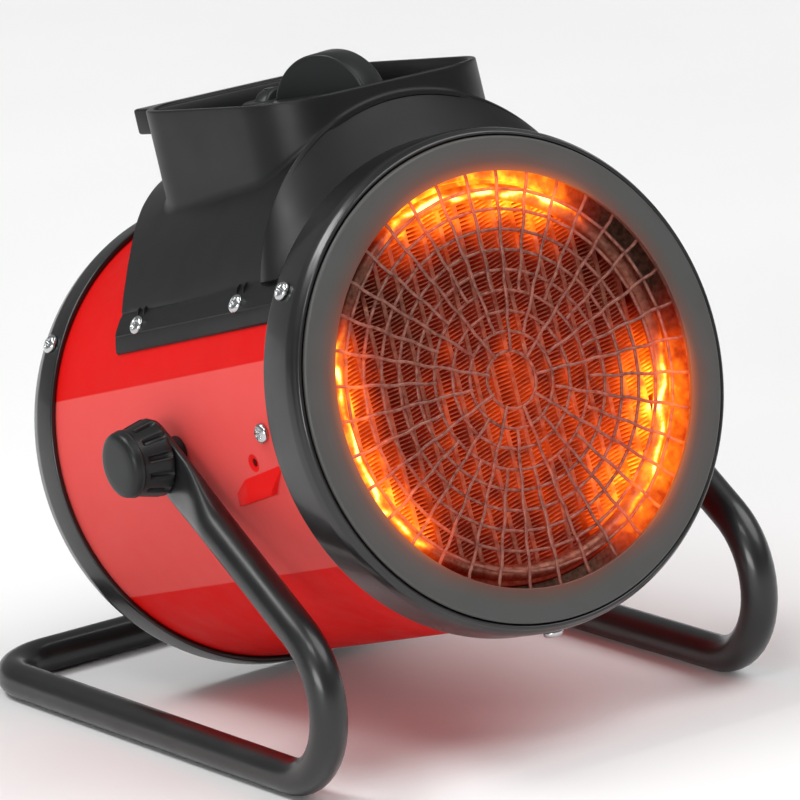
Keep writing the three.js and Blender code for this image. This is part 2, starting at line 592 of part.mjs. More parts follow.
// ---- top cover ----------------------------------------------------------------------
// arched section at one station: the part of a circle above the cover's skirt
function arch(y, radius, centreZ, floor = 40, steps = 22) {
  const half = Math.acos(Math.min(1, (floor - centreZ) / radius));
  return Array.from({ length: steps + 1 }, (_, i) => {
    const a = -half + (2 * half * i) / steps;
    return [radius * Math.sin(a), y, centreZ + radius * Math.cos(a)];
  });
}

const REACH = DRUM_R + 65;       // clear of the cover on every side

// seen from above, the cover's rear edge sweeps back from the flanges to the crown
function rearEdge(inset) {
  const half = [[REACH, -49], [78, -48.6], [72.7, -47.6], [66, -44], [60, -39.5], [54, -34.5], [46, -28],
    [37, -21.5], [28, -15], [18, -8.5], [8, -4.4]];
  const points = [...half.map(([x, y]) => new THREE.Vector2(x, y - inset)),
    ...half.map(([x, y]) => new THREE.Vector2(-x, y - inset)).reverse(),
    new THREE.Vector2(-REACH, COVER_FRONT - 14), new THREE.Vector2(REACH, COVER_FRONT - 14)];
  return plate(points, [], REACH).translate(0, 0, 30);
}

function towerBlock(inset, z0, z1) {
  const outline = roundedOutline(TOWER.x - inset, TOWER.y - inset, TOWER.corner - inset);
  return toSolid(plate(outline, [], z1 - z0).translate(0, TOWER.centre, z0));
}

function topCover() {
  const shellPart = (inset, skirt) => toSolid(loft([
    arch(COVER_FRONT + inset, FRONT_RING_R - 0.4 - inset, 0, skirt),
    arch(HOOD_Y, HOOD.r - inset, HOOD.z, skirt),
    arch(COVER_REAR, REAR_ARCH.r - inset, REAR_ARCH.z, skirt)]));
  const flange = toSolid(lathe([[DRUM_R - 25, COVER_FRONT], [COVER_FLANGE_R, COVER_FRONT],
    [COVER_FLANGE_R, COVER_REAR - 4], [DRUM_R - 25, COVER_REAR - 4]]));
  const aboveSkirt = toSolid(box(-REACH, REACH, COVER_FRONT - REACH, COVER_REAR + REACH,
    COVER_FLANGE_R * Math.sin(27.6 * DEG), REACH));
  const outside = join(shellPart(0, 40), flange).intersect(aboveSkirt).intersect(toSolid(rearEdge(0)));
  const inside = shellPart(COVER_WALL, 20).intersect(toSolid(rearEdge(COVER_WALL)));
  const lip = toSolid(plate(roundedOutline(LIP.x, LIP.y, LIP.corner, 3), [], 30)
    .translate(0, GLAND_Y, TOWER.top - 20));
  const slope = (drop, low) => {
    const slab = box(-REACH, REACH, -REACH, REACH, low, -drop);
    return toSolid(slab.rotateX(TOWER_SLOPE).translate(0, TOWER.centre, TOWER.top));
  };
  const lipBand = lip.intersect(slope(0, -LIP.depth));
  const walls = join(towerBlock(0, 60, REACH).intersect(slope(0, -REACH)), lipBand);
  const ledge = PANEL_DROP + PANEL_THICK + GAP;
  const well = towerBlock(TOWER_WALL, 40, REACH + 10).subtract(slope(ledge, -(ledge + 3)));
  const core = towerBlock(TOWER_WALL + 4, 40, REACH + 10);
  const barrel = toSolid(lathe(pinProfile(DRUM_R + GAP, COVER_FRONT - 40, COVER_REAR + 40)));
  const inlet = toSolid(lathe(pinProfile(GLAND_R + GAP, GLAND_Y - 8, GLAND_Y + 8), 12)
    .translate(0, 0, GLAND_Z));
  return cut(join(outside, walls), inside, well, core, barrel, inlet, ...screwHoles().slice(6, 10),
    ...headPockets());
}
place(drum, 'top_cover', topCover(), FINISH.blackPlastic);

// ---- control head: drawn about the middle of the tower rim, leaning with it ----------
controls.position.set(0, TOWER.centre, TOWER.top);
controls.rotation.x = TOWER_SLOPE;
const PANEL_TOP = -PANEL_DROP;
const THERMOSTAT_AT = [0, -14];
const SELECTOR_AT = [0, 30];
const LAMP_AT = [-32, 26];
const panelInset = TOWER_WALL + GAP;
const panelShift = (PANEL_TOP - PANEL_THICK / 2) * Math.tan(TOWER_SLOPE);   // the walls stay upright
place(controls, 'control_panel', plate(
  roundedOutline(TOWER.x - panelInset, TOWER.y - panelInset, TOWER.corner - panelInset)
    .map((p) => p.setY(p.y + panelShift)),
  [circlePoints(4.2, 12, ...THERMOSTAT_AT), circlePoints(4.2, 12, ...SELECTOR_AT),
    circlePoints(3.6, 12, ...LAMP_AT)],
  PANEL_THICK).translate(0, 0, PANEL_TOP - PANEL_THICK), FINISH.blackPlastic);

const upright = (profile, x, y, segments = 16) => lathe(profile, segments).rotateX(90 * DEG).translate(x, y, 0);

function gripKnob(radius, baseHeight, gripRadius, gripThick, gripTop, turn) {
  const z0 = PANEL_TOP + GAP;
  const base = toSolid(upright([[0, z0], [radius, z0], [radius, z0 + baseHeight - 1], [radius - 1, z0 + baseHeight],
    [0, z0 + baseHeight]], 0, 0, 28));
  const centre = gripTop - gripRadius;
  const disc = toSolid(lathe([[0, -gripThick / 2], [gripRadius - 1, -gripThick / 2], [gripRadius, 1 - gripThick / 2],
    [gripRadius, gripThick / 2 - 1], [gripRadius - 1, gripThick / 2], [0, gripThick / 2]], 36)
    .translate(0, 0, 0));
  const grip = disc.translate([0, 0, centre]).intersect(toSolid(box(-60, 60, -60, 60, z0, 60)));
  const bore = toSolid(upright(pinProfile(3.3, z0 - 1, z0 + 8.4), 0, 0, 12));
  return cut(join(base, grip.rotate([0, 0, turn])), bore);
}
place(controls, 'thermostat_knob', gripKnob(23.5, 5, 22.5, 15.5, 12.5, -65)
  .translate([...THERMOSTAT_AT, 0]), FINISH.blackPlastic);
place(controls, 'selector_knob', gripKnob(13, 3.6, 11, 7, -0.8, 20).translate([...SELECTOR_AT, 0]), FINISH.blackPlastic);

// switch bodies hang under the panel, each with its spindle up through the panel hole
function switchBody(at, width, depth, height) {
  const under = PANEL_TOP - PANEL_THICK - GAP;
  const body = toSolid(box(at[0] - width / 2, at[0] + width / 2, at[1] - depth / 2, at[1] + depth / 2,
    under - height, under));
  const spindle = toSolid(upright(pinProfile(3, under - 2, PANEL_TOP + GAP + 7.8), at[0], at[1], 12));
  return join(body, spindle);
}
place(controls, 'thermostat', switchBody(THERMOSTAT_AT, 30, 34, 12), FINISH.ceramic);
place(controls, 'selector_switch', switchBody(SELECTOR_AT, 26, 28, 12), FINISH.blackPlastic);
place(controls, 'pilot_lamp', upright([[0, PANEL_TOP - 12], [3.3, PANEL_TOP - 12], [3.3, PANEL_TOP + GAP],
  [4.8, PANEL_TOP + GAP], [4.8, PANEL_TOP + 1.6], [3, PANEL_TOP + 3], [0, PANEL_TOP + 3]], ...LAMP_AT), FINISH.lamp);

// ---- inside the cover ---------------------------------------------------------------
place(drum, 'terminal_block', box(-19, 19, -158, -144, DRUM_R + GAP + 0.2, DRUM_R + 13), FINISH.ceramic);
place(drum, 'thermal_cutout', lathe([[0, -4.4], [8, -4.4], [8, 0], [0, 0]], 16).rotateX(90 * DEG)
  .translate(0, -112, DRUM_R - SKIN - 0.9), FINISH.zinc);
const glandSeat = GLAND_Y + GAP;
const glandProfile = [[3, GLAND_Y - 8], [GLAND_R, GLAND_Y - 8], [GLAND_R, glandSeat], [GLAND_R + GLAND_FLANGE, glandSeat],
  [GLAND_R + GLAND_FLANGE, GLAND_Y + 6], [GLAND_R + 0.4, GLAND_Y + 11], [3, GLAND_Y + 11]];
place(drum, 'cord_inlet_gland', lathe(glandProfile, 16).translate(0, 0, GLAND_Z), FINISH.blackPlastic);

// ---- put together: tip the drum back, then stand everything on the floor, centred ----
for (const part of [...drum.children]) part.position.set(0, -PIVOT_Y, -PIVOT_Z);
controls.position.add(new THREE.Vector3(0, -PIVOT_Y, -PIVOT_Z));
drum.add(controls);
drum.position.set(0, 0, PIVOT_HEIGHT);
drum.rotation.x = -TILT;
heater.add(drum);
heater.updateMatrixWorld(true);
const extent = new THREE.Box3().setFromObject(heater, true);
const middle = extent.getCenter(new THREE.Vector3());
for (const child of heater.children) child.position.sub(new THREE.Vector3(middle.x, middle.y, extent.min.z));

export default heater;
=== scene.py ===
"""Forced air heater: a red drum with a glowing wire-guarded face, tipped back on a bent-tube stand.

The drum and everything in it is drawn in millimetres about the drum's own axis (Y, hot end
towards -Y, zero at the rear edge of the red skin, Z up) and is then tipped back about the two
side pivots. Body angles run from the left side (-X) upwards.
"""

import logging
import math
from dataclasses import dataclass, field, replace
from enum import Enum
from functools import cached_property
from typing import Callable, Sequence

import bmesh
import bpy
import numpy as np
from mathutils import Matrix, Vector


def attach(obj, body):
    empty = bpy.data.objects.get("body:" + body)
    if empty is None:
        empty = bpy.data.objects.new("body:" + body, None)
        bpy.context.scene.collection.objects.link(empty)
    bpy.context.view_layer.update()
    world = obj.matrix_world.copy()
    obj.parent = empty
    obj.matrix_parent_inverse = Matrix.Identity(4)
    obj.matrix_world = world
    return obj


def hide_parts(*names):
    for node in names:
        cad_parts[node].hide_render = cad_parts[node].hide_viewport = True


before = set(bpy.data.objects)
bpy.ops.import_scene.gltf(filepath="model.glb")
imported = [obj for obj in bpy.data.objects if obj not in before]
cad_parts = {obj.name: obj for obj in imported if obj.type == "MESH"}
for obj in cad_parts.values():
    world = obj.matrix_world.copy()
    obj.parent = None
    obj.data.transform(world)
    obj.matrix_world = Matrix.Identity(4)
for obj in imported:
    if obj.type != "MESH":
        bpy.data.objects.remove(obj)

LOG = logging.getLogger("heater")
MM = 0.001
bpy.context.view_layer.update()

# ---- where things stand ---------------------------------------------------------------
PIVOT = Vector((0.0, -0.018867, 0.1255))
PIVOT_IN_DRUM = Vector((0.0, -97.0, 2.0))
LEAN = math.radians(14.4)
HEAD_SLOPE = math.radians(6.05)
HEAD_IN_DRUM = Vector((0.0, -102.0, 131.9))
STAND_FRAME = Matrix.Translation((0.0, PIVOT.y, 0.0))
DRUM_FRAME = (
    Matrix.Translation(PIVOT)
    @ Matrix.Rotation(-LEAN, 4, "X")
    @ Matrix.Translation(-PIVOT_IN_DRUM * MM)
)
HEAD_FRAME = (
    DRUM_FRAME
    @ Matrix.Translation(HEAD_IN_DRUM * MM)
    @ Matrix.Rotation(HEAD_SLOPE, 4, "X")
)

Profile = Sequence[tuple[float, float]]
Colour = tuple[float, float, float]
Socket = bpy.types.NodeSocket


class Body(Enum):
    """The moving bodies of the heater."""

    STAND = "stand"
    DRUM = "heater_drum"
    LEFT_CLAMP = "left_clamp"
    RIGHT_CLAMP = "right_clamp"
    THERMOSTAT = "thermostat_dial"
    SELECTOR = "selector_dial"
    FAN = "fan_rotor"


class Side(Enum):
    """The two sides of the heater, with the sign of X on each."""

    LEFT = -1
    RIGHT = 1


class Layer(Enum):
    """The numbers that a mesh carries at its points for its finish."""

    GLOW = "glow_level"
    PRESSED = "pressed_share"


# ---- drawing --------------------------------------------------------------------------
def turns(steps: int) -> np.ndarray:
    """Gives equal angles round a full turn, in radians."""
    return np.arange(steps) * 2 * math.pi / steps


def hoop(radius: float, station: float, steps: int) -> np.ndarray:
    """Gives points round the Y axis at one station."""
    angle = turns(steps)
    return np.stack([radius * np.cos(angle), np.full(steps, station), radius * np.sin(angle)], -1)


def smooth_step(value: np.ndarray) -> np.ndarray:
    """Eases a value between 0 and 1."""
    value = np.clip(value, 0.0, 1.0)
    return value * value * (3 - 2 * value)


@dataclass
class Draft:
    """A mesh being drawn, in millimetres.

    Attributes:
        points: rows of x, y, z.
        faces: corner numbers of each face.
        levels: one number for each point, such as how hot it glows.
        layer: what the levels are.
    """

    points: list = field(default_factory=list)
    faces: list = field(default_factory=list)
    levels: list = field(default_factory=list)
    layer: Layer = Layer.GLOW

    def skin(self, loops: Sequence, *, round_loop: bool = True, joined: bool = False,
             caps: bool = True) -> "Draft":
        """Lays quads between equal loops of points.

        Args:
            loops: rows of points, as many in each.
            round_loop: whether each loop closes on itself.
            joined: whether the last loop joins the first.
            caps: whether the two end loops are filled.

        Returns:
            The draft itself.
        """
        loops = np.asarray(loops, float)
        rows, count, _ = loops.shape
        base = len(self.points)
        self.points.extend(map(tuple, loops.reshape(-1, 3)))
        across = count if round_loop else count - 1
        for row in range(rows if joined else rows - 1):
            here, there = base + row * count, base + ((row + 1) % rows) * count
            for i in range(across):
                j = (i + 1) % count
                self.faces.append((here + i, here + j, there + j, there + i))
        if caps and round_loop and not joined:
            self.faces.append(tuple(base + i for i in reversed(range(count))))
            self.faces.append(tuple(base + (rows - 1) * count + i for i in range(count)))
        return self

    def add(self, other: "Draft") -> None:
        """Takes in a second draft.

        Args:
            other: whose points and faces are taken.
        """
        base = len(self.points)
        self.points.extend(other.points)
        self.faces.extend(tuple(base + i for i in face) for face in other.faces)

    def move(self, place: Callable[[float, float, float], tuple]) -> "Draft":
        """Moves every point to where the function puts it, and gives the draft itself."""
        self.points = [place(*point) for point in self.points]
        return self

    def set_glow(self, heat: Callable[[np.ndarray], np.ndarray]) -> None:
        """Works out how brightly each point glows, 0 to 1, from a function of all the points."""
        self.levels = list(heat(np.array(self.points)))


def softened(profile: Profile, radius: float, ring: bool = True, steps: int = 4) -> list:
    """Rounds the corners of a profile.

    Args:
        profile: corner points.
        radius: how far from each corner the rounding starts.
        ring: whether the profile closes on itself.
        steps: points along each rounded corner, less one.

    Returns:
        The rounded profile's points.
    """
    most = 0.45  # of either neighbouring side
    corners = [np.array(p, float) for p in profile]
    made = []
    for i, corner in enumerate(corners):
        if not ring and i in (0, len(corners) - 1):
            made.append(tuple(corner))
            continue
        before = corners[i - 1] - corner
        after = corners[(i + 1) % len(corners)] - corner
        lengths = np.linalg.norm(before), np.linalg.norm(after)
        reach = min(radius, lengths[0] * most, lengths[1] * most)
        a = corner + before / lengths[0] * reach
        b = corner + after / lengths[1] * reach
        for t in np.linspace(0, 1, steps + 1):
            made.append(tuple((1 - t) ** 2 * a + 2 * t * (1 - t) * corner + t * t * b))
    return made


def turned(profile: Profile, steps: int = 128, ring: bool = True, soft: float = 0.0,
           soft_steps: int = 4) -> Draft:
    """Turns a profile about the Y axis.

    Args:
        profile: pairs of radius and station along Y.
        steps: sides of the turned shape.
        ring: whether the profile closes on itself; otherwise it ends on the axis.
        soft: how far from each corner of the profile its rounding starts.
        soft_steps: points along each rounded corner, less one.

    Returns:
        The turned shape.
    """
    if soft:
        profile = softened(profile, soft, ring, soft_steps)
    return Draft().skin([hoop(r, y, steps) for r, y in profile], joined=ring, caps=not ring)


def tube(path: np.ndarray, radius: float, sides: int = 8, closed: bool = False,
         draft: Draft | None = None) -> Draft:
    """Sweeps a round wire along a path.

    Args:
        path: points of the centre line.
        radius: of the wire.
        sides: of the wire's section.
        closed: whether the path closes on itself.
        draft: an earlier draft to add to.

    Returns:
        The wire.
    """
    path = np.asarray(path, float)
    if closed:
        tangent = np.roll(path, -1, 0) - np.roll(path, 1, 0)
    else:
        tangent = np.gradient(path, axis=0)
    tangent /= np.linalg.norm(tangent, axis=1)[:, None]
    any_side = (0.31, 0.95, 0.11)
    up = np.cross(tangent[0], any_side)
    angle = turns(sides)[:, None]
    loops = []
    for point, along in zip(path, tangent):
        up = up - along * up.dot(along)
        up /= np.linalg.norm(up)
        side = np.cross(along, up)
        loops.append(point + radius * (np.cos(angle) * up + np.sin(angle) * side))
    return (draft or Draft()).skin(loops, joined=closed, caps=not closed)


def rounded_outline(half_x: float, half_y: float, corner: float, steps: int = 12) -> np.ndarray:
    """Gives the points of a rectangle with round corners, anticlockwise.

    Args:
        half_x: half the width.
        half_y: half the depth.
        corner: radius of the corners.
        steps: parts of each corner.

    Returns:
        Array of x, y rows.
    """
    points = []
    for quarter, (sx, sy) in enumerate(((1, 1), (-1, 1), (-1, -1), (1, -1))):
        for i in range(steps + 1):
            a = math.radians(90 * (quarter + i / steps))
            points.append((sx * (half_x - corner) + corner * math.cos(a),
                           sy * (half_y - corner) + corner * math.sin(a)))
    return np.array(points)


def outline_normals(outline: np.ndarray) -> np.ndarray:
    """Gives the outward direction at each point of an outline.

    Args:
        outline: rows of x and y, anticlockwise.

    Returns:
        Rows of x and y, each one long.
    """
    along = np.roll(outline, -1, 0) - np.roll(outline, 1, 0)
    normal = np.stack([along[:, 1], -along[:, 0]], -1)
    return normal / np.linalg.norm(normal, axis=1)[:, None]


# ---- finishes -------------------------------------------------------------------------
def shade(colour: Sequence[float], factor: float) -> tuple[float, ...]:
    """Darkens or lightens a colour."""
    return tuple(min(1.0, c * factor) for c in colour)


class Nodes:
    """Adds shader nodes to one new material."""

    def __init__(self, name: str) -> None:
        """Starts a material with one surface shader.

        Args:
            name: the material's name.
        """
        self.material = bpy.data.materials.new(name)
        self.material.use_nodes = True
        self.tree = self.material.node_tree
        self.shader = self.tree.nodes["Principled BSDF"]
        self.place = self.tree.nodes.new("ShaderNodeTexCoord").outputs["Object"]

    def fill(self, socket: Socket, value: object) -> None:
        """Sets an input, or links it to another node's output.

        Args:
            socket: the input.
            value: a plain value or an output.
        """
        if isinstance(value, bpy.types.NodeSocket):
            self.tree.links.new(value, socket)
        else:
            socket.default_value = value

    def set(self, name: str, value: object) -> None:
        """Fills one input of the surface shader with a value or a socket."""
        self.fill(self.shader.inputs[name], value)

    def node(self, kind: str, **inputs: object) -> bpy.types.Node:
        """Adds a node and fills its inputs.

        Args:
            kind: the node's type, without its prefix.
            inputs: values or sockets, by input name with _ for a space.

        Returns:
            The node.
        """
        made = self.tree.nodes.new("ShaderNode" + kind)
        for key, value in inputs.items():
            self.fill(made.inputs[key.replace("_", " ")], value)
        return made

    def noise(self, scale: float, detail: float = 2.0,
              stretch: tuple[float, float, float] = (1, 1, 1)) -> Socket:
        """Adds a noise pattern of so many waves per metre, octaves and scale along each axis."""
        where = self.node("Mapping", Vector=self.place, Scale=stretch).outputs["Vector"]
        return self.node("TexNoise", Vector=where, Scale=scale, Detail=detail).outputs["Fac"]

    def spread(self, value: Socket, low: float, high: float,
               start: float = 0.3, end: float = 0.7) -> Socket:
        """Maps the range from start to end onto the range from low to high."""
        limits = {"From_Min": start, "From_Max": end, "To_Min": low, "To_Max": high}
        return self.node("MapRange", Value=value, **limits).outputs["Result"]

    def ramp(self, value: Socket, stops: Sequence[tuple[float, Sequence[float]]]) -> Socket:
        """Maps a value onto colours.

        Args:
            value: what is mapped.
            stops: pairs of place and colour.

        Returns:
            The colour.
        """
        made = self.node("ValToRGB", Fac=value)
        points = made.color_ramp.elements
        while len(points) < len(stops):
            points.new(0.5)
        for point, (place, colour) in zip(points, stops):
            point.position = place
            point.color = (*colour, 1.0)
        return made.outputs["Color"]

    def mottle(self, value: Socket, colour: Sequence[float], dark: float, light: float,
               start: float = 0.3, end: float = 0.7) -> Socket:
        """Takes a colour from a darker to a lighter shade as a pattern goes from start to end."""
        return self.ramp(value, [(start, shade(colour, dark)), (end, shade(colour, light))])

    def worn(self, value: Socket, roughness: float, low: float, high: float) -> None:
        """Lets a pattern vary the surface's roughness between two shares of it."""
        self.set("Roughness", self.spread(value, roughness * low, roughness * high))

    def sum(self, operation: str, *values: object) -> Socket:
        """Works with numbers.

        Args:
            operation: what is done with them.
            values: numbers or sockets, in order.

        Returns:
            The result.
        """
        made = self.node("Math")
        made.operation = operation
        for socket, value in zip(made.inputs, values):
            self.fill(socket, value)
        return made.outputs["Value"]

    def layer(self, layer: Layer) -> Socket:
        """Reads numbers that the mesh carries.

        Args:
            layer: which of them.

        Returns:
            The numbers.
        """
        made = self.node("Attribute")
        made.attribute_name = layer.value
        return made.outputs["Fac"]

    def blend(self, share: Socket, first: object, second: object) -> Socket:
        """Blends two colours.

        Args:
            share: how much of the second shows, 0 to 1.
            first: colour or socket.
            second: colour or socket.

        Returns:
            The blend.
        """
        made = self.node("Mix")
        made.data_type = "RGBA"
        factor, first_colour, second_colour, mixed = 0, 6, 7, 2  # a Mix node's sockets for colours
        self.fill(made.inputs[factor], share)
        for number, value in ((first_colour, first), (second_colour, second)):
            plain = not isinstance(value, bpy.types.NodeSocket)
            self.fill(made.inputs[number], (*value, 1.0) if plain else value)
        return made.outputs[mixed]

    def relief(self, height: Socket, strength: float, depth: float) -> None:
        """Gives the surface a fine relief of some strength, 0 to 1, and depth in metres."""
        made = self.node("Bump", Height=height, Strength=strength, Distance=depth)
        self.set("Normal", made.outputs["Normal"])


@dataclass(frozen=True)
class Finish:
    """What every surface finish shares.

    Attributes:
        name: of the material.
        colour: linear red, green, blue.
        roughness: of the bare surface.
        slot: the record's slot that it belongs to; not used.
    """

    name: str
    colour: Colour
    roughness: float
    slot: str

    def dress(self, nodes: Nodes) -> None:
        """Builds the finish in a material; each kind of finish has its own."""
        raise NotImplementedError

    @cached_property
    def material(self) -> bpy.types.Material:
        """Makes the material on first use.

        Returns:
            The material.
        """
        nodes = Nodes(self.name)
        self.dress(nodes)
        return nodes.material


@dataclass(frozen=True)
class Paint(Finish):
    """Stoved paint on sheet steel, with a faint orange peel.

    Attributes:
        coat: strength of the clear gloss over the colour.
        coat_roughness: of that gloss.
        peel: depth of the orange peel in metres.
    """

    coat: float = 0.0
    coat_roughness: float = 0.1
    peel: float = 0.00002

    def dress(self, nodes: Nodes) -> None:
        """Mottles the colour and the gloss slightly and adds the orange peel.

        Args:
            nodes: of the material.
        """
        nodes.set("Base Color", nodes.mottle(nodes.noise(18, 3), self.colour, 0.93, 1.06))
        nodes.worn(nodes.noise(70, 4), self.roughness, 0.85, 1.2)
        nodes.set("Coat Weight", self.coat)
        nodes.set("Coat Roughness", self.coat_roughness)
        nodes.relief(nodes.noise(520, 2), 0.25, self.peel)


@dataclass(frozen=True)
class ReflectionBandPaint(Paint):
    """Paint with a painted reflection of the floor: a lighter band along each side of the drum.

    Attributes:
        band: colour of the painted reflection band.
        upper: angle above the drum's side where the band starts, in degrees.
        lower: angle below the drum's side where it ends, in degrees.
        line: half the width of the band's two edges, in degrees.
        gloss: how much light the surface throws back unscattered.
        hole: painted shade in the dimple's hole, as a share of the paint's colour.
    """

    band: Colour = (1.0, 1.0, 1.0)
    upper: float = 18.5
    lower: float = 35.1
    line: float = 0.15
    gloss: float = 0.07
    hole: float = 0.06

    def dress(self, nodes: Nodes) -> None:
        """Lays the painted reflection band between two crisp lines, but not over what is pressed into
        the skin.

        Args:
            nodes: of the material.
        """
        super().dress(nodes)
        parts = nodes.node("SeparateXYZ", Vector=nodes.place).outputs
        angle = nodes.sum("ARCTAN2", parts["Z"], nodes.sum("ABSOLUTE", parts["X"]))
        line, top, bottom = (math.radians(a) for a in (self.line, self.upper, -self.lower))
        cloud = nodes.noise(18, 3)
        pressed = nodes.layer(Layer.PRESSED)
        inside = nodes.sum("MULTIPLY", nodes.spread(angle, 1.0, 0.0, top - line, top + line),
                           nodes.spread(angle, 0.0, 1.0, bottom - line, bottom + line))
        inside = nodes.sum("MULTIPLY", inside, nodes.spread(pressed, 1.0, 0.0))
        depth = nodes.sum("ADD", nodes.spread(angle, 0.0, 1.0, bottom, top),
                          nodes.spread(cloud, -0.06, 0.06))
        # painted reflection: the lighter band, a little darker in its middle
        painted_reflection = nodes.ramp(depth, [(0.0, self.band), (0.45, shade(self.band, 0.93)),
                                    (1.0, shade(self.band, 1.04))])
        colour = nodes.blend(inside, nodes.mottle(cloud, self.colour, 0.96, 1.03), painted_reflection)
        # painted shade: the dimple's hole is darkened almost to black
        in_hole = nodes.spread(pressed, 0.0, 0.93, 1.2, 1.8)
        nodes.set("Base Color", nodes.blend(in_hole, colour, shade(self.colour, self.hole)))
        nodes.set("Specular IOR Level", self.gloss)


@dataclass(frozen=True)
class Moulding(Finish):
    """Moulded plastic with a fine spark-eroded grain.

    Attributes:
        grain: depth of the grain in metres.
        gloss: how much light the surface throws back unscattered.
    """

    grain: float = 0.00004
    gloss: float = 0.3

    def dress(self, nodes: Nodes) -> None:
        """Adds the grain, faint flow marks and rubbed, shinier patches.

        Args:
            nodes: of the material.
        """
        flow = nodes.noise(14, 3, (1.0, 0.35, 1.0))
        nodes.set("Base Color", nodes.mottle(flow, self.colour, 0.85, 1.18, 0.3, 0.72))
        nodes.worn(nodes.noise(34, 4), self.roughness, 0.86, 1.14)
        nodes.set("Specular IOR Level", self.gloss)
        nodes.relief(nodes.noise(2300, 3), 0.35, self.grain)


@dataclass(frozen=True)
class Plated(Finish):
    """Bright or dull plating on steel.

    Attributes:
        brush: scale along each axis, for a surface brushed or rolled one way.
        marks: how strongly the brushing shows, 0 to 1.
        depth: of the brushing, in metres.
    """

    brush: tuple[float, float, float] = (1.0, 1.0, 1.0)
    marks: float = 0.2
    depth: float = 0.00001

    def dress(self, nodes: Nodes) -> None:
        """Adds the brushing and a faint tarnish.

        Args:
            nodes: of the material.
        """
        lines = nodes.noise(900, 2, self.brush)
        nodes.set("Metallic", 1.0)
        nodes.set("Base Color", nodes.mottle(nodes.noise(60, 4), self.colour, 0.82, 1.0, 0.35, 0.65))
        nodes.worn(lines, self.roughness, 0.7, 1.4)
        nodes.relief(lines, self.marks, self.depth)


@dataclass(frozen=True)
class HotMetal(Finish):
    """Oxidised metal that glows where its mesh says: on the element from its own heat, on the guard
    wires and the frame as painted light from the element.
        metal: how metallic the cold surface is.
        scale_depth: depth of the oxide scale in metres.
        heat: colours of the glow, from cold to hottest.
    """

    hottest: float = 3.0
    metal: float = 0.7
    scale_depth: float = 0.0001
    heat: tuple = (
        (0.0, (0.0, 0.0, 0.0)), (0.18, (0.035, 0.001, 0.0)), (0.4, (0.17, 0.012, 0.0)),
        (0.62, (0.42, 0.07, 0.002)), (0.82, (0.8, 0.28, 0.01)), (0.97, (1.0, 0.75, 0.22)),
    )

    def dress(self, nodes: Nodes) -> None:
        """Runs the glow from dull red through orange to yellow-white.

        Args:
            nodes: of the material.
        """
        scale = nodes.noise(420, 5)
        nodes.set("Metallic", self.metal)
        nodes.set("Base Color", nodes.ramp(scale, [
            (0.32, shade(self.colour, 0.45)), (0.5, self.colour), (0.7, shade(self.colour, 1.5)),
        ]))
        nodes.worn(nodes.noise(160, 3), self.roughness, 0.8, 1.2)
        nodes.relief(scale, 0.3, self.scale_depth)
        flicker = nodes.spread(nodes.noise(150, 4, (1, 0.2, 1)), 0.72, 1.22)
        glow = nodes.sum("MULTIPLY", flicker, nodes.layer(Layer.GLOW))
        nodes.set("Emission Color", nodes.ramp(glow, self.heat))
        nodes.set("Emission Strength", self.hottest)


@dataclass(frozen=True)
class GlowPaintedPlate(Paint):
    """Grey paint with painted orange light round the opening, standing in for the glow of the element
    behind it.

    Attributes:
        edge: radius of the opening in metres.
        reach: how far the painted light reaches from it, in metres.
        wobble: how far its bounds wander, in metres.
        painted_edge_glow: strength of the painted glow on its edge.
        heat: colours of that painted glow, from none to most.
    """

    edge: float = 0.082
    reach: float = 0.0135
    wobble: float = 0.0016
    painted_edge_glow: float = 0.5
    heat: tuple = ((0.0, (0.0, 0.0, 0.0)), (0.35, (0.1, 0.012, 0.002)), (1.0, (0.62, 0.13, 0.02)))

    def dress(self, nodes: Nodes) -> None:
        """Paints orange light from the element onto the paint near the opening, and a painted glow from
        the arcs on its edge.

        Args:
            nodes: of the material.
        """
        super().dress(nodes)
        # painted light: the plate's edge glows with the arcs' light
        nodes.set("Emission Color", nodes.ramp(nodes.layer(Layer.GLOW), self.heat))
        nodes.set("Emission Strength", self.painted_edge_glow)
        parts = nodes.node("SeparateXYZ", Vector=nodes.place).outputs
        squares = [nodes.sum("MULTIPLY", parts[axis], parts[axis]) for axis in ("X", "Z")]
        radius = nodes.sum("SQRT", nodes.sum("ADD", *squares))
        wander = nodes.spread(nodes.noise(26, 2), -self.wobble, self.wobble)
        # painted light: orange from the element, strongest at the opening
        painted_glow_share = nodes.spread(nodes.sum("ADD", radius, wander), 0.0, 1.0,
                            self.edge, self.edge + self.reach)
        red, green, blue = self.colour
        nodes.set("Base Color", nodes.ramp(painted_glow_share, [
            (0.0, (red * 2.1, green * 0.62, blue * 0.42)),
            (0.22, (red * 1.35, green * 0.84, blue * 0.72)),
            (0.55, self.colour), (1.0, shade(self.colour, 0.96)),
        ]))


@dataclass(frozen=True)
class Lens(Finish):
    """Clear coloured plastic.

    Attributes:
        coat: strength of the gloss.
        cloud: how much light goes in and scatters, 0 to 1.
    """

    coat: float = 1.0
    cloud: float = 0.25

    def dress(self, nodes: Nodes) -> None:
        """Lets some light through and varies the depth of colour.

        Args:
            nodes: of the material.
        """
        nodes.set("Base Color", nodes.mottle(nodes.noise(300, 2), self.colour, 0.8, 1.0))
        nodes.set("Roughness", self.roughness)
        nodes.set("Coat Weight", self.coat)
        nodes.set("Subsurface Weight", self.cloud)


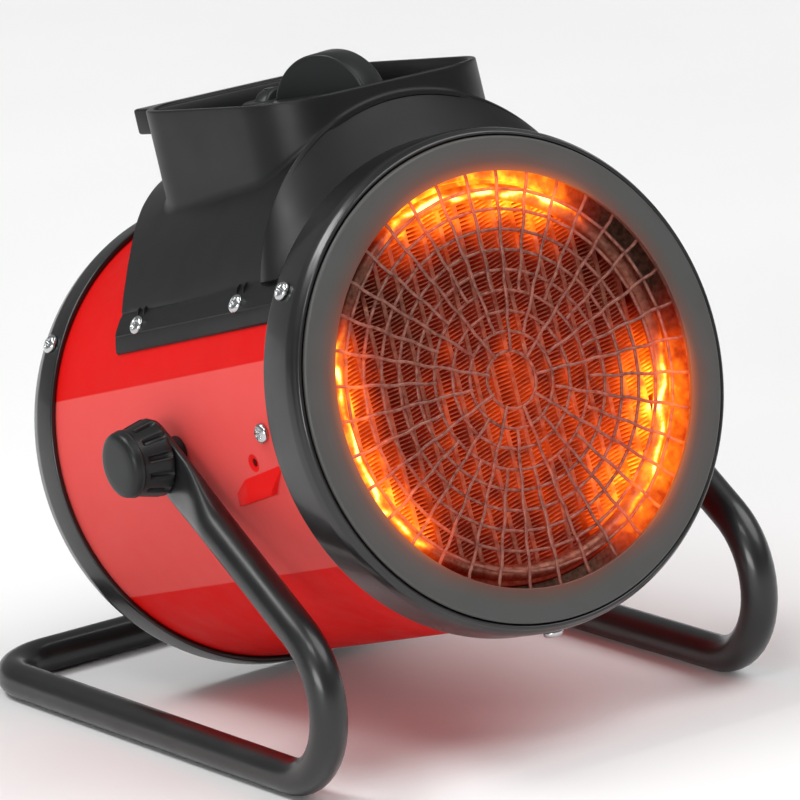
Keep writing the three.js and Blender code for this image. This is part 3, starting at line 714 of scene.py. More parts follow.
class Dress:
    """Every finish on the heater."""

    # the drum's lighter band is a painted reflection, not a second paint
    DRUM = ReflectionBandPaint("drum_red", (0.66, 0.0075, 0.0065), 0.5, "drum_paint", band=(0.7, 0.078, 0.072))
    STAND = Paint("stand_black", (0.0062, 0.0066, 0.0072), 0.34, "stand_paint", coat=0.25)
    RING = Paint("ring_black", (0.004, 0.0041, 0.0044), 0.32, "ring_paint", coat=0.35)
    # the plate's orange glow near the opening is painted light from the element
    PLATE = GlowPaintedPlate("plate_grey", (0.062, 0.063, 0.061), 0.46, "plate_paint")
    COVER = Moulding("cover_black", (0.0072, 0.0074, 0.0077), 0.42, "cover_plastic", gloss=0.24)
    PLASTIC = Moulding("plastic_black", (0.0105, 0.0108, 0.0112), 0.5, "black_plastic")
    KNOB = Moulding("knob_black", (0.0115, 0.0125, 0.0128), 0.38, "knob_plastic", grain=0.00002)
    SCREW = Plated("screw_plating", (0.62, 0.63, 0.64), 0.2, "screw_steel")
    ZINC = Plated("zinc_plating", (0.5, 0.52, 0.54), 0.36, "zinc", (1.0, 12.0, 1.0))
    CASTING = Plated("motor_case", (0.34, 0.35, 0.36), 0.45, "zinc", marks=0.5)
    # the guard wires' glow is painted light from the element
    WIRE = HotMetal("guard_wire", (0.19, 0.085, 0.064), 0.5, "guard_wire", metal=0.4)
    FINS = HotMetal("element_fins", (0.2, 0.105, 0.07), 0.46, "element", hottest=3.4)
    COIL = HotMetal("element_ring", (0.2, 0.085, 0.055), 0.42, "element", hottest=2.9)
    PALE = Moulding("pale_moulding", (0.62, 0.6, 0.53), 0.5, "ceramic")
    LAMP = Lens("amber_lens", (0.75, 0.22, 0.04), 0.12, "lamp_lens")


def build(name: str, draft: Draft, finish: Finish, body: Body = Body.DRUM, *,
          place: Matrix = DRUM_FRAME, stands_for: Sequence[str] = (), sharp: float = 38.0) -> None:
    """Turns a draft into a dressed piece that rides on its body.

    Args:
        name: the piece's name.
        draft: its mesh, in millimetres.
        finish: its surface.
        body: what it moves with.
        place: the frame that the draft was drawn in.
        stands_for: nodes that it replaces.
        sharp: edges that turn more than this many degrees stay crisp.
    """
    same_point, no_length = 2e-6, 1e-7
    mesh = bpy.data.meshes.new(name)
    mesh.from_pydata([Vector(p) * MM for p in draft.points], [], draft.faces)
    if draft.levels:
        layer = mesh.attributes.new(draft.layer.value, "FLOAT", "POINT")
        layer.data.foreach_set("value", np.array(draft.levels, np.float32))
    work = bmesh.new()
    work.from_mesh(mesh)
    bmesh.ops.remove_doubles(work, verts=work.verts, dist=same_point)
    bmesh.ops.dissolve_degenerate(work, edges=work.edges, dist=no_length)
    bmesh.ops.recalc_face_normals(work, faces=work.faces)
    work.to_mesh(mesh)
    work.free()
    mesh.shade_smooth()
    mesh.set_sharp_from_angle(angle=math.radians(sharp))
    piece = bpy.data.objects.new(name, mesh)
    bpy.context.scene.collection.objects.link(piece)
    piece.matrix_world = place
    mesh.materials.append(finish.material)
    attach(piece, body.value)
    if stands_for:
        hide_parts(*stands_for)
    LOG.info("%s: %d faces on %s", name, len(mesh.polygons), body.value)


def redress(node: str, finish: Finish) -> None:
    """Gives a solid that stays as it is a better finish.

    Args:
        node: the solid's name.
        finish: its surface.
    """
    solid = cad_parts[node]
    solid.data.materials.clear()
    solid.data.materials.append(finish.material)
    LOG.info("%s: kept, in %s", node, finish.name)


# ---- stand ----------------------------------------------------------------------------
@dataclass(frozen=True)
class TubeStation:
    """One section along the stand's tube.

    Attributes:
        centre: of the section.
        up: direction of its wide half.
        wide: half its width.
        thick: half its thickness.
        square: 2 for an oval, more for a flatter one.
    """

    centre: tuple[float, float, float]
    up: tuple[float, float, float]
    wide: float
    thick: float
    square: float = 2.0

    def loop(self, along: np.ndarray, sides: int) -> np.ndarray:
        """Draws the section.

        Args:
            along: direction of the tube.
            sides: of the section.

        Returns:
            The section's points.
        """
        c, s = np.cos(turns(sides))[:, None], np.sin(turns(sides))[:, None]
        size = (np.abs(c) ** self.square + np.abs(s) ** self.square) ** (-1 / self.square)
        up, side = np.array(self.up, float), np.cross(along, self.up)
        return np.array(self.centre) + size * (self.wide * s * up + self.thick * c * side)


@dataclass
class TubeStand:
    """One bent steel tube: two legs from the pivots, two floor runs and a rear cross tube.

    Attributes:
        radius: of the tube.
        half_span: from the middle to a leg.
        pivot_height: above the floor.
        front_corner: station where leg and floor run would meet.
        rear_corner: station of the cross tube.
        front_bend: radius of the bend at the front.
        rear_bend: radius of the bend at the rear.
        flat_half: half the thickness of the flattened end.
        flat_width: half its width.
        flat_end: how far it reaches past the pivot.
        end_power: 1 for a round end, less for a squarer one.
        square: how flat the flattened section is.
        flat_to: how far below the pivot it starts to turn round.
        round_from: how far below the pivot the tube is round.
        sides: of the tube's section.
    """

    radius: float = 7.5
    half_span: float = 104.0
    pivot_height: float = 125.5
    front_corner: float = -187.6
    rear_corner: float = 156.7
    front_bend: float = 33.3
    rear_bend: float = 27.0
    flat_half: float = 2.5
    flat_width: float = 11.6
    flat_end: float = 13.6
    end_power: float = 0.6
    square: float = 3.6
    flat_to: float = 15.08
    round_from: float = 46.0
    sides: int = 32

    def round(self, x: float, y: float, z: float,
              up: tuple[float, float, float] = (0.0, 0.0, 1.0)) -> TubeStation:
        """Gives a station where the tube is round."""
        return TubeStation((x, y, z), up, self.radius, self.radius)

    def leg(self, pivot: np.ndarray, down: np.ndarray, length: float) -> list[TubeStation]:
        """Gives the right leg: flattened end, the change to round, and the round tube.

        Args:
            pivot: y and z of the pivot.
            down: direction of the leg in y and z.
            length: from the pivot to the bend.

        Returns:
            Its stations.
        """
        width, half = self.flat_width, self.flat_half
        rows = []
        for a in np.radians(np.linspace(86, 0, 9)):
            rows.append((-self.flat_end * math.sin(a) ** self.end_power,
                         width * math.cos(a) ** self.end_power,
                         half * (0.8 + 0.2 * math.cos(a)), self.square))
        rows.append((self.flat_to, width, half, self.square))
        for t in np.linspace(0.06, 1, 14):
            k = float(smooth_step(t))
            rows.append((self.flat_to + (self.round_from - self.flat_to) * t,
                         width + (self.radius - width) * k, half + (self.radius - half) * k,
                         self.square + (TubeStation.square - self.square) * k))
        for s in np.linspace(60, length - 2, 5):
            rows.append((s, self.radius, self.radius, TubeStation.square))
        up = (0.0, -down[1], down[0])
        return [TubeStation((self.half_span, *(pivot + down * s)), up, wide, thick, square)
                for s, wide, thick, square in rows]

    def half(self) -> list[TubeStation]:
        """Follows the right half of the tube.

        Returns:
            Its stations, from the pivot to the middle of the rear cross tube.
        """
        lay, span = self.radius, self.half_span
        pivot, corner = np.array([0.0, self.pivot_height]), np.array([self.front_corner, lay])
        down = (corner - pivot) / np.linalg.norm(corner - pivot)
        setback = self.front_bend / math.tan(math.atan2(-down[1], -down[0]) / 2)
        leg_end = corner - down * setback
        bend = np.array([corner[0] + setback, lay + self.front_bend])
        start = math.atan2(leg_end[1] - bend[1], leg_end[0] - bend[0]) % (2 * math.pi)
        stations = self.leg(pivot, down, float(np.linalg.norm(leg_end - pivot)))
        for a in np.linspace(start, math.radians(270), 21):
            c, s = math.cos(a), math.sin(a)
            stations.append(self.round(span, bend[0] + self.front_bend * c,
                                       bend[1] + self.front_bend * s, (0.0, -c, -s)))
        rear_start = self.rear_corner - self.rear_bend
        stations += [self.round(span, y, lay) for y in np.linspace(bend[0] + 12, rear_start - 10, 6)]
        for a in np.radians(np.linspace(0, 90, 17)):
            stations.append(self.round(span - self.rear_bend * (1 - math.cos(a)),
                                       rear_start + self.rear_bend * math.sin(a), lay))
        return stations + [self.round(x, self.rear_corner, lay) for x in (50.0, 25.0, 0.0)]

    def build(self) -> None:
        """Makes the stand."""
        right = self.half()
        left = [replace(s, centre=(-s.centre[0], *s.centre[1:])) for s in reversed(right[:-1])]
        path = right + left
        along = np.gradient(np.array([s.centre for s in path]), axis=0)
        along /= np.linalg.norm(along, axis=1)[:, None]
        loops = [station.loop(t, self.sides) for station, t in zip(path, along)]
        build("stand_bent_tube", Draft().skin(loops), Dress.STAND, Body.STAND,
              place=STAND_FRAME, stands_for=["stand_tube"], sharp=60)


@dataclass
class TiltClamp:
    """One side pivot: fluted knob, bolt and spacer.

    Attributes:
        side: of the drum.
        back: how far out the knob starts.
        lobes: flutes round it.
        groove: depth of a flute.
        outline: way out from the start, radius, and share of the flute's depth.
        spacer: radius and way out of the spacer's corners.
    """

    side: Side
    back: float = 106.72
    lobes: int = 12
    groove: float = 1.7
    outline: tuple = (
        (0.0, 15.0, 0.0), (0.35, 15.6, 0.1), (1.0, 15.8, 0.45), (1.8, 15.75, 0.9), (3.2, 15.4, 1.0),
        (6.2, 14.7, 1.0), (8.6, 14.1, 1.0), (9.6, 13.85, 0.85), (10.2, 13.7, 0.4), (10.6, 13.6, 0.0),
        (11.6, 13.3, 0.0), (12.4, 13.2, 0.0), (12.6, 13.6, 0.0), (12.9, 13.75, 0.0), (13.3, 13.7, 0.0),
        (13.6, 13.5, 0.0), (13.9, 13.4, 0.0), (15.2, 13.2, 0.0), (16.3, 12.7, 0.0), (17.0, 11.8, 0.0),
        (17.45, 10.4, 0.0), (17.6, 7.6, 0.0), (17.65, 3.0, 0.0),
    )
    spacer: Profile = ((3.3, 95.3), (6.2, 95.3), (6.2, 101.2), (3.3, 101.2))

    def on_pivot(self, x: float, y: float, z: float) -> tuple[float, float, float]:
        """Lays a point that was drawn about Y about this side's pivot."""
        return self.side.value * y, PIVOT_IN_DRUM.y + x, PIVOT_IN_DRUM.z + z

    def knob(self) -> Draft:
        """Draws the fluted knob with its smooth face.

        Returns:
            The knob, about the Y axis.
        """
        count = self.lobes * 14
        dip = self.groove * smooth_step((np.cos(turns(count) * self.lobes) - 0.45) / 0.5)
        loops = [hoop(r - deep * dip, self.back + way, count) for way, r, deep in self.outline]
        return Draft().skin(loops)

    def build(self) -> None:
        """Makes the knob and the spacer and dresses the bolt."""
        name = self.side.name.lower()
        body = Body.LEFT_CLAMP if self.side is Side.LEFT else Body.RIGHT_CLAMP
        build(f"clamp_knob_{name}", self.knob().move(self.on_pivot), Dress.KNOB, body,
              stands_for=[f"tilt_knob_{name}"], sharp=55)
        build(f"clamp_spacer_{name}", turned(self.spacer, 48, soft=0.7).move(self.on_pivot),
              Dress.PLASTIC, stands_for=[f"pivot_spacer_{name}"])
        redress(f"pivot_bolt_{name}", Dress.ZINC)


# ---- screws ---------------------------------------------------------------------------
FLANGE_ANGLE = 33.0
FLANGE_SCREWS = (-145.6, -66.0)


@dataclass
class PanHeadScrew:
    """A plated pan-head screw with a cross recess, square to the drum.

    Attributes:
        node: the solid that it stands for.
        bearing: radius of the face that its head bears on.
        angle: body angle in degrees.
        station: place along the drum.
        turn: how far the cross is turned, in degrees.
        outline: radius and height, from the shank's tip to the head's shoulder.
        top: radii of the rings on the domed top.
        height: of the head.
        dome: fall of its top at a radius of 1 mm.
        arm: half the width of the cross's arms.
        arm_length: how far they reach.
        recess: depth of the cross.
        sides: of the head.
    """

    node: str
    bearing: float
    angle: float
    station: float
    turn: float
    outline: Profile = ((1.2, -4.0), (1.9, -3.4), (1.9, 0.0), (3.75, 0.0), (4.0, 0.25), (4.05, 0.8),
                        (3.95, 1.25), (3.7, 1.65), (3.3, 2.0))
    top: Sequence[float] = tuple(np.linspace(3.0, 0.25, 12))
    height: float = 2.62
    dome: float = 0.05
    arm: float = 0.72
    arm_length: float = 2.5
    recess: float = 1.5
    sides: int = 48

    def head_height(self, r: float) -> np.ndarray:
        """Gives the height of the domed top, cross included.

        Args:
            r: radius of a ring on it.

        Returns:
            The height at each point of the ring.
        """
        turn = turns(self.sides) - math.radians(self.turn)
        reach = np.abs([r * np.cos(turn), r * np.sin(turn)])
        narrow, long = reach.min(0), reach.max(0)
        slot = smooth_step((self.arm - narrow) / 0.3) * smooth_step((self.arm_length - long) / 0.5)
        return self.height - self.dome * r * r - self.recess * slot * np.clip(1 - long / 3.4, 0, 1)

    def on_drum(self, x: float, y: float, z: float) -> tuple[float, float, float]:
        """Lays a point of the screw, drawn about Y, at the screw's place.

        Args:
            x: along the drum.
            y: outwards.
            z: round the drum.

        Returns:
            The point's place on the drum.
        """
        c, s = math.cos(math.radians(self.angle)), math.sin(math.radians(self.angle))
        out = self.bearing + y
        return s * z - c * out, self.station + x, s * out + c * z

    def build(self) -> None:
        """Makes the screw."""
        rows = [*self.outline, *((r, self.head_height(r)) for r in self.top)]
        draft = Draft().skin([hoop(r, height, self.sides) for r, height in rows])
        build(self.node + "_head", draft.move(self.on_drum), Dress.SCREW, stands_for=[self.node],
              sharp=50)


def all_screws() -> list[PanHeadScrew]:
    """Lists the screws.

    Returns:
        Every screw on the drum, its rings and its cover.
    """
    front_ring, rear_ring, rear_ring_low, cover, skin = 100.1, 97.8, 97.4, 98.1, 95.1
    left, right, bottom = FLANGE_ANGLE, 180 - FLANGE_ANGLE, -90
    near, far = FLANGE_SCREWS
    rows = (
        ("front_ring_screw_left", front_ring, left, -184.6, 24),
        ("front_ring_screw_right", front_ring, right, -184.6, 51),
        ("front_ring_screw_bottom", front_ring, bottom, -184.6, 12),
        ("rear_ring_screw_left", rear_ring, left, 7.4, 40),
        ("rear_ring_screw_right", rear_ring, right, 7.4, 8),
        ("rear_ring_screw_bottom", rear_ring_low, bottom, 6.2, 63),
        ("cover_screw_left_front", cover, left, near, 35),
        ("cover_screw_left_rear", cover, left, far, 70),
        ("cover_screw_right_front", cover, right, near, 15),
        ("cover_screw_right_rear", cover, right, far, 47),
        ("frame_screw_left", skin, 1.7, -163.6, 58),
        ("frame_screw_right", skin, 180 - 1.7, -163.6, 22),
    )
    return [PanHeadScrew(*row) for row in rows]


# ---- drum -----------------------------------------------------------------------------
@dataclass
class DrumShell:
    """The red skin with its pressed hood and dimple, and the two black end rings.

    Attributes:
        radius: of the skin.
        skin: its thickness.
        front: station of its front edge.
        rear: station of its rear edge.
        hood: station and height of the pressed hood's corners; its first sides rise softly.
        soft_sides: how many of them do.
        hood_lift: how far the hood stands out.
        dimple: station and height of the dimple.
        pressed_from: station where the close lines of the skin start.
        pressed_to: station where they end.
        front_ring: radius and station of the front ring's corners.
        rear_ring: radius and station of the rear ring's corners.
    """

    radius: float = 95.0
    skin: float = 1.2
    front: float = -194.2
    rear: float = 9.4
    hood: Profile = ((-127.0, -24.6), (-130.0, -18.6), (-140.0, -13.6), (-156.0, -11.9),
                     (-172.5, -10.2), (-160.5, -21.8), (-144.0, -23.2))
    soft_sides: int = 4
    hood_lift: float = 3.3
    dimple: tuple[float, float] = (-150.5, -8.1)
    pressed_from: float = -124.4
    pressed_to: float = -176.0
    front_ring: Profile = (
        (95.3, -176.6), (100.0, -176.6), (100.0, -194.0), (99.4, -197.6), (98.3, -199.2),
        (97.9, -200.1), (97.0, -200.5), (96.2, -200.0), (96.1, -196.8), (84.5, -196.8),
        (84.5, -194.8), (95.3, -194.8),
    )
    rear_ring: Profile = ((95.3, 0.3), (97.5, 0.3), (97.9, 11.5), (96.4, 17.0), (94.8, 17.8),
                          (89.0, 17.8), (89.0, 12.5), (95.3, 12.5))

    def pressed(self, y: np.ndarray, z: np.ndarray) -> tuple[np.ndarray, np.ndarray]:
        """Gives what the pressed hood and the dimple do to the skin.

        Args:
            y: stations along the drum.
            z: heights on the left side.

        Returns:
            The outward lift, and the share: 1 where the skin is pressed, 2 in the hole.
        """
        corners = np.array(self.hood)
        inside = np.zeros(y.shape, bool)
        distances = []
        for a, b in zip(corners, np.roll(corners, -1, 0)):
            edge = b - a
            crosses = (a[1] > z) != (b[1] > z)
            inside ^= crosses & (y < edge[0] * (z - a[1]) / edge[1] + a[0])
            t = np.clip(((y - a[0]) * edge[0] + (z - a[1]) * edge[1]) / edge.dot(edge), 0, 1)
            distances.append(np.hypot(y - a[0] - t * edge[0], z - a[1] - t * edge[1]))
        soft, crisp = np.min(distances[:self.soft_sides], 0), np.min(distances[self.soft_sides:], 0)
        lift = smooth_step(soft / 9.0) ** 0.8 * smooth_step(crisp / 0.9) * self.hood_lift
        rim, hole, fade = 3.9, 1.9, 0.5
        reach = np.hypot(y - self.dimple[0], z - self.dimple[1])
        in_hole = smooth_step((hole - reach) / fade)
        cone = np.clip((3.5 - reach) / 2.2, 0, 1) * 0.6 + in_hole * 0.5
        in_hood = np.where(inside, smooth_step(np.minimum(soft, crisp) / fade), 0.0)
        share = np.maximum(in_hood, smooth_step((rim - reach) / fade) + in_hole)
        return np.where(inside, lift, 0.0) - cone, share

    def build_skin(self) -> None:
        """Makes the red skin, with close lines only where it is pressed."""
        close = np.arange(-20.0, 5.01, 0.25)
        wide = np.linspace(5.0, 340.0, 172)[1:-1]
        angle = np.radians(np.concatenate([close, wide]))
        stations = np.concatenate([np.linspace(self.rear, self.pressed_from + 0.4, 18),
                                   np.arange(self.pressed_from, self.pressed_to, -0.42),
                                   [-180.0, -187.0, self.front]])
        left = np.cos(angle) > 0.2
        loops, levels = [], []

        def row(y: float, radius: np.ndarray) -> None:
            """Adds one station of the skin."""
            loops.append(np.stack([-radius * np.cos(angle), np.full(angle.shape, y),
                                   radius * np.sin(angle)], -1))

        for y in stations:
            lift, share = self.pressed(np.full(angle.shape, y), self.radius * np.sin(angle))
            row(y, self.radius + np.where(left, lift, 0.0))
            levels.extend(np.where(left, share, 0.0))
        for y in (self.front, -100.0, self.rear):
            row(y, np.full(angle.shape, self.radius - self.skin))
            levels.extend(np.zeros(len(angle)))
        draft = Draft(levels=levels, layer=Layer.PRESSED).skin(loops, joined=True)
        build("red_skin", draft, Dress.DRUM, stands_for=["drum_skin"], sharp=62)

    def build(self) -> None:
        """Makes the skin, the two rings and every screw."""
        self.build_skin()
        build("front_ring_rolled", turned(self.front_ring, 192, soft=0.9), Dress.RING,
              stands_for=["front_ring"], sharp=50)
        build("rear_ring_rolled", turned(self.rear_ring, 192, soft=0.8), Dress.RING,
              stands_for=["rear_ring"], sharp=50)
        for screw in all_screws():
            screw.build()


# ---- hot end --------------------------------------------------------------------------
@dataclass(frozen=True)
class Arc:
    """One of the bright arcs on the heating ring.

    Attributes:
        middle: its angle in degrees, from +X towards +Z.
        half: half the angle that it covers.
        strength: of its glow.
    """

    middle: float
    half: float
    strength: float


@dataclass
class HeatingFace:
    """The grey face plate, the wire guard and the glowing element behind it.

    Attributes:
        opening: radius of the plate's opening.
        plate: radius of the plate.
        plate_front: station of its front.
        plate_rear: station of its rear.
        wire: radius of the guard's wires.
        guard_y: station of the guard.
        guard_pitch: from one wire ring to the next.
        guard_outer: radius of the outermost ring.
        guard_hub: radius of the innermost ring.
        spokes: of the guard.
        ring_radius: of the tubular heating ring.
        ring_tube: radius of its tube.
        ring_y: its station.
        core_front: station of the element's front.
        core_depth: of the element.
        core_radius: of the element.
        rim: thickness of the band round it.
        column: from one upright bar to the next.
        bar: half the width of a bar.
        bar_length: longest straight piece of a bar.
        fin: half the thickness of a fin.
        fin_pitch: from one fin to the next.
        fin_inset: from the element's front and back to the fins.
        frame_rear: station of the frame's rear edge.
        frame_radius: of the frame.
        places: of the bright arcs.
    """

    opening: float = 82.0
    plate: float = 95.8
    plate_front: float = -201.6
    plate_rear: float = -199.6
    wire: float = 0.68
    guard_y: float = -198.2
    guard_pitch: float = 8.0
    guard_outer: float = 83.4
    guard_hub: float = 11.4
    spokes: int = 36
    ring_radius: float = 75.0
    ring_tube: float = 3.2
    ring_y: float = -189.5
    core_front: float = -186.0
    core_depth: float = 12.0
    core_radius: float = 80.0
    rim: float = 2.2
    column: float = 8.4
    bar: float = 0.9
    bar_length: float = 12.0
    fin: float = 0.22
    fin_pitch: float = 1.62
    fin_inset: float = 0.6
    frame_rear: float = -157.6
    frame_radius: float = 93.4
    places: tuple[Arc, ...] = (Arc(84.0, 50.0, 1.0), Arc(192.0, 52.0, 0.98), Arc(-29.0, 46.0, 0.96))

    def arcs(self, points: np.ndarray, spread: float, thread: float = 0.0) -> np.ndarray:
        """Gives the heat of the three bright arcs near the rim.

        Args:
            points: where the heat is wanted.
            spread: how far the heat reaches across the face.
            thread: share of the heat that is kept for a thin wandering line.

        Returns:
            Heat from 0 to 1.
        """
        radius = np.hypot(points[:, 0], points[:, 2]) - self.ring_radius
        angle = np.degrees(np.arctan2(points[:, 2], points[:, 0]))
        wander = 1.5 * np.sin(np.radians(angle * 7 + 40)) + 0.9 * np.sin(np.radians(angle * 23))
        thread_width, fade = 1.2, 26.0
        line = np.exp(-((radius - wander) / thread_width) ** 2)
        across = np.exp(-(radius / spread) ** 2) * (1 - thread + thread * line)
        heat = np.zeros(len(points))
        for arc in self.places:
            off = (angle - arc.middle + 180) % 360 - 180
            along = smooth_step((arc.half - np.abs(off)) / fade)
            heat = np.maximum(heat, arc.strength * along * across)
        return heat

    def glow(self, points: np.ndarray, spread: float) -> np.ndarray:
        """Gives how hot the element is: three bright arcs and a dull red field.

        Args:
            points: where the heat is wanted.
            spread: how far the arcs' heat reaches across the face.

        Returns:
            Heat from 0 to 1.
        """
        x, z = points[:, 0], points[:, 2]
        middle, size, strength = (10, -20), (66, 62), 0.54
        off = ((x - middle[0]) / size[0]) ** 2 + ((z - middle[1]) / size[1]) ** 2
        dull = strength * np.exp(-off ** 1.3)
        ripple = 0.5 + 0.5 * np.sin(x * 0.21 + 2.1 * np.sin(z * 0.09)) * np.sin(z * 0.17 + 1.3)
        return np.clip(self.arcs(points, spread) + dull * (0.6 + 0.4 * ripple), 0, 1)

    def build_plate(self) -> None:
        """Makes the grey face plate."""
        front = [(r, self.plate_front) for r in (self.opening, 84.0, 86.0, 89.0, 95.1)]
        draft = turned([(self.opening, self.plate_rear), *front, (self.plate, self.plate_front + 0.7),
                        (self.plate, self.plate_rear)], 192, soft=0.5)
        fade = 3.6
        # painted light: the arcs' glow on the plate, fading from the opening
        draft.set_glow(lambda p: self.arcs(p, 60.0)
                   * np.exp((self.opening - np.hypot(p[:, 0], p[:, 2])) / fade))
        build("face_plate_pressed", draft, Dress.PLATE, stands_for=["face_plate"], sharp=55)

    def build_guard(self) -> None:
        """Makes the guard: many-sided wire rings crossed by spokes, with the element's light painted on
        them as glow.
        """
        inner, outer, front, rear = 83.0, 92.0, self.guard_y - 1.0, self.guard_y + 1.0
        draft = turned([(inner, front), (outer, front), (outer, rear), (inner, rear)], 144, soft=0.4)
        behind, before = self.guard_y + self.wire, self.guard_y - 0.5
        for k in range(1, 9):
            sides = self.spokes if k < 7 else self.spokes // 2
            ring = hoop(self.guard_outer - self.guard_pitch * k, behind, sides)
            tube(ring, self.wire, closed=True, draft=draft)
        long_end, short_end, middle_end = 19.4, 35.4, 11.0
        for i, a in enumerate(turns(self.spokes)):
            reach = np.linspace(84.0, short_end if i % 2 else long_end, 14)
            sway = 0.35 * np.sin((reach - self.guard_outer) / self.guard_pitch * math.pi)
            self.spoke(a, reach, sway, before, draft)
        for a in turns(self.spokes // 4):
            self.spoke(a, np.linspace(20.0, middle_end, 4), np.zeros(4), before, draft)
        tube(hoop(self.guard_hub, behind, 27), self.wire, closed=True, draft=draft)
        # painted light: the wires glow with light from the element behind them
        draft.set_glow(lambda p: self.glow(p, 13.0) * 0.52)
        build("guard_wires", draft, Dress.WIRE, stands_for=["front_guard"], sharp=60)

    def spoke(self, angle: float, reach: np.ndarray, sway: np.ndarray, y: float, draft: Draft) -> None:
        """Adds one wire that runs towards the guard's middle.

        Args:
            angle: of the spoke, in radians.
            reach: radii along it.
            sway: how far it bends aside at each.
            y: its station.
            draft: what it is added to.
        """
        c, s = math.cos(angle), math.sin(angle)
        path = np.stack([reach * c - sway * s, np.full(len(reach), y), reach * s + sway * c], -1)
        tube(path, self.wire, draft=draft)

    def build_ring(self) -> None:
        """Makes the tubular heating ring."""
        draft = tube(hoop(self.ring_radius, self.ring_y, 240), self.ring_tube, 24, closed=True)
        draft.set_glow(lambda p: np.maximum(self.arcs(p, 9.0, 0.36), self.glow(p, 4.0) * 0.5))
        build("heating_ring_tube", draft, Dress.COIL, stands_for=["heating_ring"], sharp=60)

    def bars(self, x: float, draft: Draft) -> None:
        """Adds one upright bar of the element, in short straight pieces.

        Args:
            x: its place across the drum.
            draft: what it is added to.
        """
        reach = math.sqrt((self.core_radius - 1.5) ** 2 - x * x)
        left, right = x - self.bar, x + self.bar
        front, back = self.core_front, self.core_front + self.core_depth
        plan = ((left, front), (right, front), (right, back), (left, back))
        for low in np.arange(-reach, reach - 1, self.bar_length):
            high = min(low + self.bar_length, reach)
            draft.skin([[(*corner, z) for corner in plan] for z in (low, high)])

    def fins(self, x: float, slant: float, draft: Draft) -> None:
        """Adds the folded fins between two bars.

        Args:
            x: place of the first bar.
            slant: how far each fin climbs from its middle to its end.
            draft: what they are added to.
        """
        edge = max(abs(x), abs(x + self.column))
        if edge > self.core_radius - 4:
            return
        reach = math.sqrt((self.core_radius - 2) ** 2 - edge ** 2)
        front = self.core_front + self.fin_inset
        back = self.core_front + self.core_depth - self.fin_inset
        half = np.array([self.column / 2 - 1.0, slant])
        normal = np.array([-half[1], half[0]]) / np.linalg.norm(half) * self.fin
        for z in np.arange(-reach, reach - 1.6, self.fin_pitch):
            middle = np.array([x + self.column / 2, z])
            a, b = middle - half, middle + half
            section = (a - normal, b - normal, b + normal, a + normal)
            draft.skin([[(corner[0], y, corner[1]) for corner in section] for y in (front, back)])

    def build_core(self) -> None:
        """Makes the element: upright bars with a folded strip of fins between each pair."""
        draft = Draft()
        front, back = self.core_front, self.core_front + self.core_depth
        outer, inner = self.core_radius, self.core_radius - self.rim
        half = int(self.core_radius // self.column)
        for k in range(-half, half + 1):
            self.bars(k * self.column, draft)
            self.fins(k * self.column, 0.9 if k % 3 else 0.4, draft)
        draft.add(turned([(inner, front), (outer, front), (outer, back), (inner, back)], 144, soft=0.4))
        draft.set_glow(lambda p: self.glow(p, 17.0) * 0.72 * smooth_step((back - p[:, 1]) / 9.0 + 0.35))
        build("element_fins", draft, Dress.FINS, stands_for=["heating_core"], sharp=30)
        edge, face = outer - 2.0, back - 0.5
        screen = turned([(0.0, face), (edge, face), (edge, back), (0.0, back)], 96, ring=False)
        screen.set_glow(lambda p: self.glow(p, 15.0) * 0.3)
        build("element_back_mesh", screen, Dress.FINS, sharp=40)

    def build_frame(self) -> None:
        """Makes the bright sheet frame that carries the element, with the element's glow painted on it
        as light thrown forwards.
        """
        rear = self.core_front + self.core_depth
        inner, wall = 80.4, self.frame_radius
        draft = turned([(inner, self.core_front), (wall, self.core_front), (wall, self.frame_rear),
                        (wall - 2.0, self.frame_rear), (wall - 2.0, rear + 2.4), (76.0, rear + 2.4),
                        (76.0, rear + 0.3), (inner, rear + 0.3)], 144, soft=0.3)
        # painted light: the frame glows with the arcs' light
        draft.set_glow(lambda p: self.arcs(p, 24.0) * 0.72)
        build("element_frame_ring", draft, Dress.FINS, stands_for=["element_frame"], sharp=40)

    def build(self) -> None:
        """Makes the hot end."""
        self.build_plate()
        self.build_guard()
        self.build_ring()
        self.build_core()
        self.build_frame()


